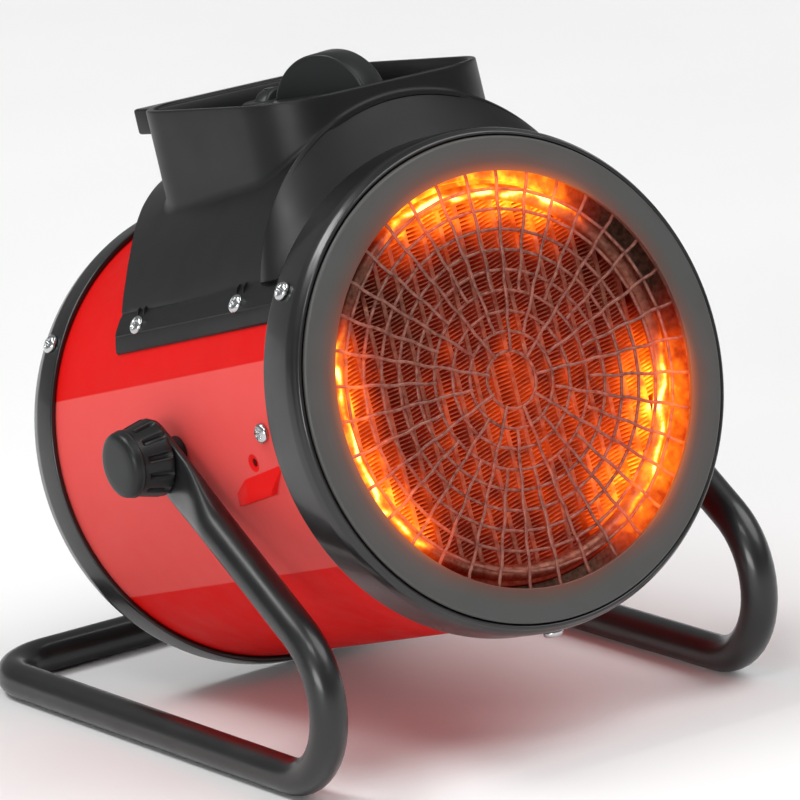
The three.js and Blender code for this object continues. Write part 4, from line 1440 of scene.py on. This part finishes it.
# ---- blower ---------------------------------------------------------------------------
@dataclass
class Blower:
    """Fan, motor, bracket, duct and the rear grille that they are seen through.

    Attributes:
        fan_front: station of the hub's front.
        fan_rear: station of its rear.
        blades: of the fan.
        root: radius where the blades start.
        tip: radius where they end.
        motor: radius and station along the motor's case.
        grille_y: station of the grille's rings.
        grille_rings: their radii.
        grille_spokes: of the grille.
    """

    fan_front: float = -86.0
    fan_rear: float = -64.0
    blades: int = 5
    root: float = 17.0
    tip: float = 78.0
    motor: Profile = (
        (0.0, -55.9), (8.6, -55.9), (9.0, -55.4), (9.0, -53.0), (22.0, -53.0), (24.6, -52.2),
        (26.0, -50.0), (26.0, -40.5), (25.2, -40.0), (25.2, -36.0), (26.0, -35.5), (26.0, -18.5),
        (24.0, -15.0), (21.0, -14.0), (9.0, -14.0), (8.6, -12.6), (0.0, -12.4),
    )
    grille_y: float = 11.0
    grille_rings: tuple[float, ...] = (79.0, 70.0, 61.0, 52.0, 43.0, 34.0, 25.0, 14.0)
    grille_spokes: int = 16

    def blade(self, turn: float) -> list[np.ndarray]:
        """Draws one blade as loops from root to tip.

        Args:
            turn: angle of the blade about the shaft, in radians.

        Returns:
            The loops.
        """
        loops = []
        chordwise = np.linspace(-0.5, 0.5, 11)
        middle = (self.fan_front + self.fan_rear) / 2
        for t in np.linspace(0, 1, 12):
            r = self.root + (self.tip - self.root) * t
            twist = math.radians(42 - 22 * t)
            arc = 3.0 * (1 - t * 0.4) * (1 - (2 * chordwise) ** 2)
            half = (0.95 - 0.35 * t) * np.sqrt(np.clip(1 - (2 * chordwise) ** 6, 0.02, 1))
            along = (20 + 30 * t ** 0.8) * np.concatenate([chordwise, chordwise[::-1]])
            above = np.concatenate([arc + half, (arc - half)[::-1]])
            c = along * math.cos(twist) - above * math.sin(twist)
            y = along * math.sin(twist) + above * math.cos(twist) + middle
            loops.append(np.stack([c * math.cos(turn) + r * math.sin(turn), y,
                                   r * math.cos(turn) - c * math.sin(turn)], -1))
        return loops

    def build_fan(self) -> None:
        """Makes the fan."""
        front, rear = self.fan_front, self.fan_rear
        fan = turned([(0.0, front), (13.0, front), (18.0, front + 3.5), (19.0, front + 8), (19.0, rear),
                      (3.3, rear), (0.0, rear)], 64, ring=False, soft=2.0)
        for turn in turns(self.blades):
            fan.skin(self.blade(turn))
        build("fan_blades", fan, Dress.PLASTIC, Body.FAN, stands_for=["fan"], sharp=50)

    def build_grille(self) -> None:
        """Makes the rear grille of welded wire rings and spokes."""
        draft = turned([(88.0, 10.0), (94.8, 10.0), (94.8, 12.2), (88.0, 12.2)], 144, soft=0.4)
        ring_wire, spoke_wire = 0.9, 0.95
        for radius in self.grille_rings:
            tube(hoop(radius, self.grille_y, 120), ring_wire, closed=True, draft=draft)
        for i, a in enumerate(turns(self.grille_spokes)):
            reach = np.linspace(89.0, 34.0 if i % 2 else 14.0, 6)
            path = np.stack([reach * math.cos(a), np.full(6, self.grille_y + ring_wire),
                             reach * math.sin(a)], -1)
            tube(path, spoke_wire, draft=draft)
        build("rear_grille_wires", draft, Dress.RING, stands_for=["rear_grille"], sharp=60)

    def build(self) -> None:
        """Makes the fan, motor and grille and dresses what holds them."""
        self.build_fan()
        redress("fan_shaft", Dress.SCREW)
        build("motor_case", turned(self.motor, 64, ring=False, soft=0.8, soft_steps=3), Dress.CASTING,
              stands_for=["motor"], sharp=50)
        redress("motor_bracket", Dress.ZINC)
        redress("inner_duct", Dress.ZINC)
        self.build_grille()


# ---- top cover ------------------------------------------------------------------------
@dataclass
class TopCover:
    """The moulded saddle with its raised hood edge, screw flanges and control tower.

    Attributes:
        front: station of the saddle's front edge.
        front_r: its radius there.
        hood_y: station of the raised hood edge.
        hood_r: radius of its arch.
        hood_z: centre height of its arch.
        rear_r: radius of the arch at the rear.
        rear_z: centre height of the arch at the rear.
        rear_y: station of the rear arch.
        step_back: height of the step behind the hood edge.
        wall: thickness of the saddle.
        flange: radius and angle along the left screw flange, from the bottom up.
        arch_foot: radius and angle where the arch meets the flange.
        rear_line: width from the middle and station of the rear edge, seen from above.
        tower_x: half the tower's width.
        tower_y: half its depth.
        tower_corner: radius of its corners.
        tower_wall: thickness of its wall.
        fillet: radius where it meets the saddle.
        lip: half width, half depth, corner and station of the lip block behind it.
        gland: radius and station along the cord's inlet gland.
        gland_z: height of the gland.
    """

    front: float = -176.3
    front_r: float = 99.6
    hood_y: float = -161.5
    hood_r: float = 82.0
    hood_z: float = 38.4
    rear_r: float = 86.0
    rear_z: float = 25.2
    rear_y: float = 6.0
    step_back: float = 1.5
    wall: float = 2.6
    flange: Profile = ((95.35, 27.2), (96.4, 27.5), (97.4, 29.2), (97.95, 30.6), (98.05, 31.0),
                       (98.55, 31.2), (98.6, 33.0), (98.5, 35.5), (98.1, 37.0))
    arch_foot: tuple[float, float] = (98.0, 37.5)
    rear_line: Profile = ((0, -3.6), (8, -4.4), (18, -8.5), (28, -15), (37, -21.5), (46, -28),
                          (54, -34.5), (60, -39.5), (66, -44), (72.7, -47.6), (78, -48.6), (92, -49))
    tower_x: float = 54.0
    tower_y: float = 60.0
    tower_corner: float = 28.0
    tower_wall: float = 3.0
    fillet: float = 2.2
    lip: tuple[float, float, float, float] = (43.5, 9.0, 3.0, -42.0)
    gland: Profile = ((3.0, -50.0), (4.6, -50.0), (4.6, -41.7), (6.0, -41.7), (6.0, -36.0),
                      (5.0, -31.0), (3.0, -31.0))
    gland_z: float = 120.7

    def arch(self, y: np.ndarray) -> tuple[np.ndarray, np.ndarray]:
        """Gives the saddle's arch behind the hood edge.

        Args:
            y: stations along it.

        Returns:
            The arch's radius and the height of its centre, at each.
        """
        t = np.clip((y - self.hood_y) / (self.rear_y - self.hood_y), 0, 1)
        start = self.hood_r - self.step_back
        return start + (self.rear_r - start) * t, self.hood_z + (self.rear_z - self.hood_z) * t

    def top(self, x: np.ndarray, y: np.ndarray) -> np.ndarray:
        """Gives the saddle's height over points of the plan."""
        r, z = self.arch(y)
        return z + np.sqrt(np.clip(r * r - x * x, 0, None))

    def on_arch(self, shares: np.ndarray, radius: np.ndarray, height: np.ndarray) -> np.ndarray:
        """Gives points of the arch above the flanges.

        Args:
            shares: places along it, from -1 on the left to 1 on the right.
            radius: of the arch.
            height: of its centre.

        Returns:
            Rows of x and z.
        """
        r, a = self.arch_foot
        low = r * math.sin(math.radians(a))
        a = shares * np.arccos(np.clip((low - height) / radius, -1, 1))
        return np.stack([radius * np.sin(a), height + radius * np.cos(a)], -1)

    def saddle_loops(self) -> list[np.ndarray]:
        """Draws the saddle's outer skin.

        Returns:
            Rows from front to rear, each from left to right.
        """
        places = np.linspace(-1, 1, 97)
        shares = np.sin(places * math.pi / 2) * 0.35 + places * 0.65
        r, a = np.array(self.flange).T
        left = np.stack([-r * np.cos(np.radians(a)), r * np.sin(np.radians(a))], -1)
        right = left[::-1] * (-1, 1)
        rows = [(self.front + (self.hood_y - self.front) * t,
                 self.front_r + (self.hood_r - self.front_r) * t, self.hood_z * t)
                for t in (0.0, 0.25, 0.5, 0.75, 0.93, 0.985, 1.0)]
        for behind, over in ((0.5, 0.05), (0.9, -0.25), (1.0, 0.15 - self.step_back)):
            rows.append((self.hood_y + behind, self.hood_r + over, self.hood_z))
        loops = []
        for y, r, z in rows:
            section = np.concatenate([left, self.on_arch(shares, r, z), right])
            loops.append(np.insert(section, 1, y, axis=1))
        start, close_enough, most_rounds = self.hood_y + 1.3, 0.02, 12
        for t in np.concatenate([np.linspace(0, 0.985, 54), [0.995, 1.0]]):
            y = np.full(len(loops[0]), start)
            for _ in range(most_rounds):
                r, z = self.arch(y[len(left):-len(left)])
                section = np.concatenate([left, self.on_arch(shares, r, z), right])
                edge = np.interp(np.abs(section[:, 0]), *np.array(self.rear_line).T)
                new = start + (edge - start) * t
                if np.abs(new - y).max() < close_enough:
                    break
                y = new
            loops.append(np.insert(section, 1, y, axis=1))
        return loops

    def build_saddle(self) -> None:
        """Makes the saddle, with an opening under the tower."""
        draft = Draft().skin(self.saddle_loops(), round_loop=False, caps=False)
        edge, above = 1.2, 70
        opening = rounded_outline(self.tower_x - edge, self.tower_y - edge, self.tower_corner - edge)
        kept = []
        for face in draft.faces:
            x, y, z = np.mean([draft.points[i] for i in face], axis=0)
            if z <= above or not self.inside(x, y - HEAD_IN_DRUM.y, opening):
                kept.append(face)
        draft.faces = kept
        self.thicken(draft)
        build("cover_saddle", draft, Dress.COVER, stands_for=["top_cover"], sharp=42)

    @staticmethod
    def inside(x: float, y: float, outline: np.ndarray) -> bool:
        """Says whether a point of the plan lies inside an outline.

        Args:
            x: of the point.
            y: of the point.
            outline: rows of x and y.

        Returns:
            Whether it does.
        """
        a, b = outline, np.roll(outline, -1, 0)
        crosses = (a[:, 1] > y) != (b[:, 1] > y)
        at = (b[:, 0] - a[:, 0]) * (y - a[:, 1]) / np.where(crosses, b[:, 1] - a[:, 1], 1.0) + a[:, 0]
        return bool(np.count_nonzero(crosses & (x < at)) % 2)

    def thicken(self, draft: Draft) -> None:
        """Gives an open skin its wall thickness, inwards, and closes its edges.

        Args:
            draft: the skin, which is changed.
        """
        points = np.array(draft.points)
        normal = np.zeros_like(points)
        open_edges: dict[tuple[int, int], None] = {}
        for face in draft.faces:
            a, b, c, d = (points[i] for i in face)
            normal[list(face)] += np.cross(c - a, d - b)
            for i, j in zip(face, face[1:] + face[:1]):
                if (j, i) in open_edges:
                    del open_edges[j, i]
                else:
                    open_edges[i, j] = None
        used = np.linalg.norm(normal, axis=1) > 0
        normal[used] /= np.linalg.norm(normal[used], axis=1)[:, None]
        within = (0.0, -100.0, 30.0)
        normal *= np.median(np.sign((normal * (points - within)).sum(1))[used])
        count = len(points)
        draft.points = list(map(tuple, np.concatenate([points, points - normal * self.wall])))
        lower = [tuple(i + count for i in reversed(face)) for face in draft.faces]
        rims = [(j, i, i + count, j + count) for i, j in open_edges]
        draft.faces = draft.faces + lower + rims

    def build_tower(self) -> None:
        """Makes the tower: upright walls with a sloping rim and a small fillet at the saddle."""
        corners = rounded_outline(self.tower_x, self.tower_y, self.tower_corner, 16)
        dense = []
        for a, b in zip(corners, np.roll(corners, -1, 0)):
            parts = max(1, int(np.linalg.norm(b - a) // 3))
            dense.extend(a + (b - a) * k / parts for k in range(parts))
        outline = np.array(dense)
        normal = outline_normals(outline)
        rim = HEAD_IN_DRUM.z + math.tan(HEAD_SLOPE) * outline[:, 1]
        loops = []

        def floor(out: float) -> np.ndarray:
            """Gives the saddle's height under the outline, moved out."""
            plan = outline + normal * out
            return self.top(plan[:, 0], plan[:, 1] + HEAD_IN_DRUM.y)

        def row(out: float, height: np.ndarray) -> None:
            """Adds one level of the wall, moved out from the outline."""
            plan = outline + normal * out
            loops.append(np.stack([plan[:, 0], plan[:, 1] + HEAD_IN_DRUM.y, height], -1))

        inner, soft_in, soft_out, fillet = -self.tower_wall, 0.6, 0.8, self.fillet
        row(inner, np.minimum(rim - 14.0, floor(inner) + 30))
        row(inner, rim - 0.7)
        for a in np.radians([30, 60, 90]):
            row(inner + soft_in * (1 - math.cos(a)), rim - 0.7 + soft_in * math.sin(a))
        for a in np.radians([90, 60, 30, 0]):
            row(soft_out * (math.cos(a) - 1), rim - 0.9 + soft_out * math.sin(a))
        for t in np.linspace(0.15, 1, 6):
            row(0.0, (rim - 0.9) * (1 - t) + (floor(0.0) + fillet) * t)
        for a in np.radians([18, 36, 54, 72, 90]):
            out = fillet * (1 - math.cos(a))
            row(out, floor(out) + fillet * (1 - math.sin(a)) - 0.05)
        row(fillet * 0.9, floor(fillet * 0.9) - 1.2)
        row(inner, floor(inner) - 1.6)
        build("cover_tower", Draft().skin(loops, joined=True), Dress.COVER, sharp=42)

    def build_lip(self) -> None:
        """Makes the lip block behind the tower."""
        *size, centre = self.lip
        outline = rounded_outline(*size, 6)
        normal = outline_normals(outline)
        loops = []
        for inset, drop in ((1.0, -11.0), (0.3, -10.7), (0.0, -10.0), (0.0, -1.4), (0.3, -0.8),
                            (1.0, -0.5)):
            x, y = (outline - normal * inset).T
            y = y + centre
            rim = HEAD_IN_DRUM.z + math.tan(HEAD_SLOPE) * (y - HEAD_IN_DRUM.y)
            loops.append(np.stack([x, y, rim + drop], -1))
        build("cover_lip", Draft().skin(loops), Dress.COVER, sharp=50)

    def build_ribs(self) -> None:
        """Makes the pair of short ribs above each flange screw."""
        draft = Draft()
        foot, crest, middle, half = 97.6, 99.35, math.radians(36.85), math.radians(1.55)
        stations = [screw + shift for screw in FLANGE_SCREWS for shift in (-2.6, 2.6)]
        for side, station in ((side, station) for side in Side for station in stations):
            loops = []
            for a in np.linspace(middle - half, middle + half, 5):
                top = crest - 30 * abs(a - middle)
                section = ((foot, -0.55), (top, -0.4), (top, 0.4), (foot, 0.55))
                loops.append([(side.value * r * math.cos(a), station + y, r * math.sin(a))
                              for r, y in section])
            draft.skin(loops)
        build("cover_screw_ribs", draft, Dress.COVER, sharp=40)

    def build(self) -> None:
        """Makes the cover and its gland and dresses what it hides."""
        self.build_saddle()
        self.build_tower()
        self.build_lip()
        self.build_ribs()
        gland = turned(self.gland, 48, soft=0.5).move(lambda x, y, z: (x, y, z + self.gland_z))
        build("inlet_gland", gland, Dress.PLASTIC, stands_for=["cord_inlet_gland"], sharp=45)
        redress("terminal_block", Dress.PALE)
        redress("thermal_cutout", Dress.ZINC)


# ---- control head ---------------------------------------------------------------------
@dataclass
class GripKnob:
    """A round knob with an upright half-disc grip.

    Attributes:
        node: the solid that it stands for.
        body: what it turns with.
        at: its place on the panel.
        radius: of its base.
        base: height of its base.
        grip: radius of the half disc.
        thick: of the half disc.
        top: height of the grip above the rim's plane.
        turn: how far the grip is turned at rest, in degrees.
        panel: height of the knob's underside.
        edge: way in from a face of the half disc, and how much smaller it is there.
    """

    node: str
    body: Body
    at: tuple[float, float]
    radius: float
    base: float
    grip: float
    thick: float
    top: float
    turn: float
    panel: float = -8.7
    edge: Profile = ((0.0, 1.5), (0.1, 0.8), (0.45, 0.25), (1.0, 0.0))

    def on_panel(self, x: float, y: float, z: float) -> tuple[float, float, float]:
        """Turns a point with the knob and lays it at the knob's place."""
        c, s = math.cos(math.radians(self.turn)), math.sin(math.radians(self.turn))
        return c * x - s * y + self.at[0], s * x + c * y + self.at[1], z

    def build(self) -> None:
        """Makes the knob."""
        low, high = self.panel, self.panel + self.base
        draft = turned([(0.0, low), (self.radius, low), (self.radius, high - 0.6),
                        (self.radius - 1.4, high), (0.0, high)], 72, ring=False, soft=0.7).move(upright)
        centre = self.top - self.grip
        start = math.asin(np.clip((low + self.base * 0.5 - centre) / self.grip, -1, 1))
        sweep = np.linspace(start, math.pi - start, 49)
        foot, foot_z = self.grip * math.cos(start) * 0.9, low + 0.4
        near = [(way - self.thick / 2, inset) for way, inset in self.edge]
        loops = []
        for y, inset in near + [(-y, inset) for y, inset in reversed(near)]:
            r = self.grip - inset
            arch = [(r * math.cos(a), y, centre + r * math.sin(a)) for a in sweep]
            loops.append([*arch, (-foot, y, foot_z), (foot, y, foot_z)])
        draft.skin(loops).move(self.on_panel)
        build(self.node + "_moulded", draft, Dress.KNOB, self.body, place=HEAD_FRAME,
              stands_for=[self.node], sharp=48)


def upright(x: float, y: float, z: float) -> tuple[float, float, float]:
    """Stands a point that was drawn about Y up about Z."""
    return x, -z, y


@dataclass(frozen=True)
class Scale:
    """Marks round one knob.

    Attributes:
        radius: where they start.
        first: angle of the first, in degrees from the rear.
        sweep: angle from the first to the last.
        count: of the marks.
        long: numbers of the long marks.
    """

    radius: float
    first: float
    sweep: float
    count: int
    long: tuple[int, ...]


@dataclass
class ControlHead:
    """The sunk panel with its two knobs and pilot lamp.

    Attributes:
        half_x: half the panel's width.
        half_y: half its depth.
        corner: radius of its corners.
        top: height of its face under the tower's rim.
        thick: of the panel.
        section: way in from the panel's edge and height over its face, from its underside.
        thermostat: place of the large knob.
        selector: place of the small one.
        lamp: place of the pilot lamp.
        lens: radius and height along the lamp.
    """

    half_x: float = 50.7
    half_y: float = 56.7
    corner: float = 24.7
    top: float = -9.0
    thick: float = 2.6
    section: Profile = ((0.4, -2.6), (0.0, -2.2), (0.0, -0.5), (0.15, -0.15), (0.6, 0.0), (1.8, 0.0),
                        (2.2, -0.35), (2.9, -0.35), (3.3, 0.0))
    thermostat: tuple[float, float] = (0.0, -14.0)
    selector: tuple[float, float] = (0.0, 30.0)
    lamp: tuple[float, float] = (-32.0, 26.0)
    lens: Profile = ((0.0, -21.0), (3.3, -21.0), (3.3, -8.7), (4.8, -8.7), (4.8, -7.5), (3.4, -6.4),
                     (0.0, -5.9))

    def build_panel(self) -> None:
        """Makes the panel."""
        shift = (self.top - self.thick / 2) * math.tan(HEAD_SLOPE)
        outline = rounded_outline(self.half_x, self.half_y, self.corner)
        normal = outline_normals(outline)
        loops = []
        for inset, height in self.section:
            x, y = (outline - normal * inset).T
            loops.append(np.stack([x, y + shift, np.full(len(x), self.top + height)], -1))
        build("control_panel_moulded", Draft().skin(loops), Dress.PLASTIC, place=HEAD_FRAME,
              stands_for=["control_panel"], sharp=50)

    def build_marks(self) -> None:
        """Makes the raised scale marks round the two knobs."""
        half, long, short = 0.45, 3.2, 2.2
        bottom, face = self.top - 0.1, self.top + 0.12
        scales = ((self.thermostat, Scale(26.6, -135.0, 270.0, 10, (0, 9))),
                  (self.selector, Scale(16.0, -45.0, 135.0, 4, (0, 1, 2, 3))))
        draft = Draft()
        for (cx, cy), scale in scales:
            angles = np.linspace(0, scale.sweep, scale.count) + scale.first + 90
            for i, a in enumerate(np.radians(angles)):
                c, s = math.cos(a), math.sin(a)
                end = scale.radius + (long if i in scale.long else short)
                ring = [(cx + c * out - s * aside, cy + s * out + c * aside) for aside, out in (
                    (-half, scale.radius), (half, scale.radius), (half, end), (-half, end))]
                draft.skin([[(x, y, z) for x, y in ring] for z in (bottom, face)])
        build("panel_scale_marks", draft, Dress.PALE, place=HEAD_FRAME)

    def build(self) -> None:
        """Makes the control head and dresses what is under it."""
        self.build_panel()
        self.build_marks()
        lens = turned(self.lens, 40, ring=False, soft=0.6).move(upright)
        lens.move(lambda x, y, z: (x + self.lamp[0], y + self.lamp[1], z))
        build("pilot_lens", lens, Dress.LAMP, place=HEAD_FRAME, stands_for=["pilot_lamp"], sharp=45)
        GripKnob("thermostat_knob", Body.THERMOSTAT, self.thermostat, radius=23.5, base=5.0, grip=22.5,
                 thick=15.5, top=12.5, turn=-65).build()
        GripKnob("selector_knob", Body.SELECTOR, self.selector, radius=13.0, base=3.6, grip=11.0,
                 thick=7.0, top=-0.8, turn=20).build()
        redress("thermostat", Dress.PALE)
        redress("selector_switch", Dress.PLASTIC)


# ---- studio ---------------------------------------------------------------------------
@dataclass
class Studio:
    """Camera, soft lights, pale floor and a low backdrop far behind.

    Attributes:
        azimuth: of the camera, in radians from the front towards the left side.
        elevation: of the camera, in radians.
        roll: of the camera, in radians.
        focal_px: its focal length in pixels of the picture.
        frame_px: width of the picture in pixels.
        sensor: width of the camera's sensor in millimetres.
        offset: how far the origin stands right of, below and before the camera.
        origin: what the camera was placed by, in metres.
        floor_radius: of the floor, in metres.
        floor_bend: radius of the bend up to the backdrop.
        wall_height: of the backdrop.
        paper: darkest and lightest of the floor's paper.
        world: strength of the light from all round.
    """

    azimuth: float = 0.570
    elevation: float = 0.244
    roll: float = -0.099
    focal_px: float = 7197.8
    frame_px: float = 800.0
    sensor: float = 36.0
    offset: tuple[float, float, float] = (-8.727, 119.987, 2926.37)
    origin: tuple[float, float, float] = (0.0, -0.018867, 0.0007)
    floor_radius: float = 9.0
    floor_bend: float = 0.6
    wall_height: float = 1.0
    paper: tuple[float, float] = (0.86, 0.89)
    world: float = 0.24

    def add(self, name: str, data: bpy.types.ID) -> bpy.types.Object:
        """Puts a camera, light or mesh into the scene.

        Args:
            name: of the new object.
            data: what it shows.

        Returns:
            The object.
        """
        thing = bpy.data.objects.new(name, data)
        bpy.context.scene.collection.objects.link(thing)
        return thing

    def build_camera(self) -> None:
        """Places the camera where the photograph was taken from."""
        az, el = self.azimuth, self.elevation
        back = Vector((-math.sin(az) * math.cos(el), -math.cos(az) * math.cos(el), math.sin(el)))
        right = (-back).cross(Vector((0, 0, 1))).normalized()
        down = right.cross(back)
        aside, below, depth = self.offset
        data = bpy.data.cameras.new("camera")
        data.sensor_width = self.sensor
        data.lens = self.focal_px / self.frame_px * self.sensor
        data.clip_start, data.clip_end = 0.05, 60.0
        camera = self.add("camera", data)
        place = (back * depth - right * aside - down * below) * MM + Vector(self.origin)
        across = right * math.cos(self.roll) - down * math.sin(self.roll)
        above = -(right * math.sin(self.roll) + down * math.cos(self.roll))
        turn = Matrix((across, above, back)).transposed()
        camera.matrix_world = Matrix.Translation(place) @ turn.to_4x4()
        bpy.context.scene.camera = camera

    def build_floor(self) -> None:
        """Makes the pale floor with its low curved backdrop."""
        flat, bend, steps = self.floor_radius - self.floor_bend, self.floor_bend, 96
        profile = [(r, 0.0) for r in (0.0, 0.6, 1.5, 4.0, flat)]
        for a in np.radians(np.linspace(0, 90, 9)[1:]):
            profile.append((flat + bend * math.sin(a), bend - bend * math.cos(a)))
        profile.append((self.floor_radius, self.wall_height))
        draft = Draft().skin([hoop(r, z, steps)[:, (0, 2, 1)] for r, z in profile], caps=False)
        mesh = bpy.data.meshes.new("floor")
        mesh.from_pydata(draft.points, [], draft.faces)
        work = bmesh.new()
        work.from_mesh(mesh)
        bmesh.ops.remove_doubles(work, verts=work.verts, dist=1e-6)
        work.to_mesh(mesh)
        work.free()
        mesh.shade_smooth()
        floor = self.add("floor", mesh)
        nodes = Nodes("floor_paper")
        dark, light = ((value,) * 3 for value in self.paper)
        nodes.set("Base Color", nodes.ramp(nodes.noise(3, 3), [(0.3, dark), (0.7, light)]))
        nodes.set("Roughness", 0.9)
        nodes.set("Specular IOR Level", 0.1)
        mesh.materials.append(nodes.material)

    def lamp(self, name: str, towards: Sequence[float], strength: float, spread: float) -> None:
        """Adds a soft distant lamp.

        Args:
            name: of the lamp.
            towards: direction from the heater to the lamp.
            strength: light on a surface square to it.
            spread: angle across the lamp, in degrees.
        """
        data = bpy.data.lights.new(name, "SUN")
        data.energy = strength
        data.angle = math.radians(spread)
        lamp = self.add(name, data)
        lamp.rotation_mode = "QUATERNION"
        lamp.rotation_quaternion = Vector(towards).to_track_quat("Z", "Y")

    def panel(self, name: str, towards: Sequence[float], size: tuple[float, float],
              power: float, up: Sequence[float] = (0, 0, 1)) -> None:
        """Adds a rectangular soft light that faces the heater.

        Args:
            name: of the light.
            towards: direction from the heater to the light.
            size: width and height in metres.
            power: in watts.
            up: which way the light's height runs.
        """
        distance, aim = 1.5, Vector((0, 0, 0.12))
        data = bpy.data.lights.new(name, "AREA")
        data.shape = "RECTANGLE"
        data.size, data.size_y = size
        data.energy = power
        back = Vector(towards).normalized()
        across = Vector(up).cross(back).normalized()
        turn = Matrix((across, back.cross(across), back)).transposed()
        self.add(name, data).matrix_world = Matrix.Translation(back * distance + aim) @ turn.to_4x4()

    def build(self) -> None:
        """Sets the stage."""
        scene = bpy.context.scene
        scene.view_settings.view_transform = "Standard"
        self.build_camera()
        self.build_floor()
        scene.world = bpy.data.worlds.new("studio")
        scene.world.use_nodes = True
        light = scene.world.node_tree.nodes["Background"].inputs
        light["Color"].default_value = (1.0, 1.0, 1.0, 1.0)
        light["Strength"].default_value = self.world
        self.lamp("key", (-0.35, 0.3, 0.86), 0.95, 20)
        self.lamp("side", (-0.85, -0.5, 0.06), 2.5, 35)
        self.lamp("front", (0.45, -0.4, 0.8), 1.55, 45)
        self.panel("top_front", (-0.44, -0.53, 0.72), (0.5, 0.3), 3.2)
        self.panel("top_strip", (-0.52, 0.13, 0.84), (0.3, 1.5), 4.5, up=(0, 1, 0))


def main() -> None:
    """Builds the heater sub-assembly by sub-assembly."""
    logging.basicConfig(level=logging.INFO, format="%(name)s: %(message)s")
    Studio().build()
    parts = [TubeStand(), TiltClamp(Side.LEFT), TiltClamp(Side.RIGHT), DrumShell(), HeatingFace(),
             Blower(), TopCover(), ControlHead()]
    for part in parts:
        part.build()
        LOG.info("%s done", type(part).__name__)


if __name__ == "__main__":
    main()
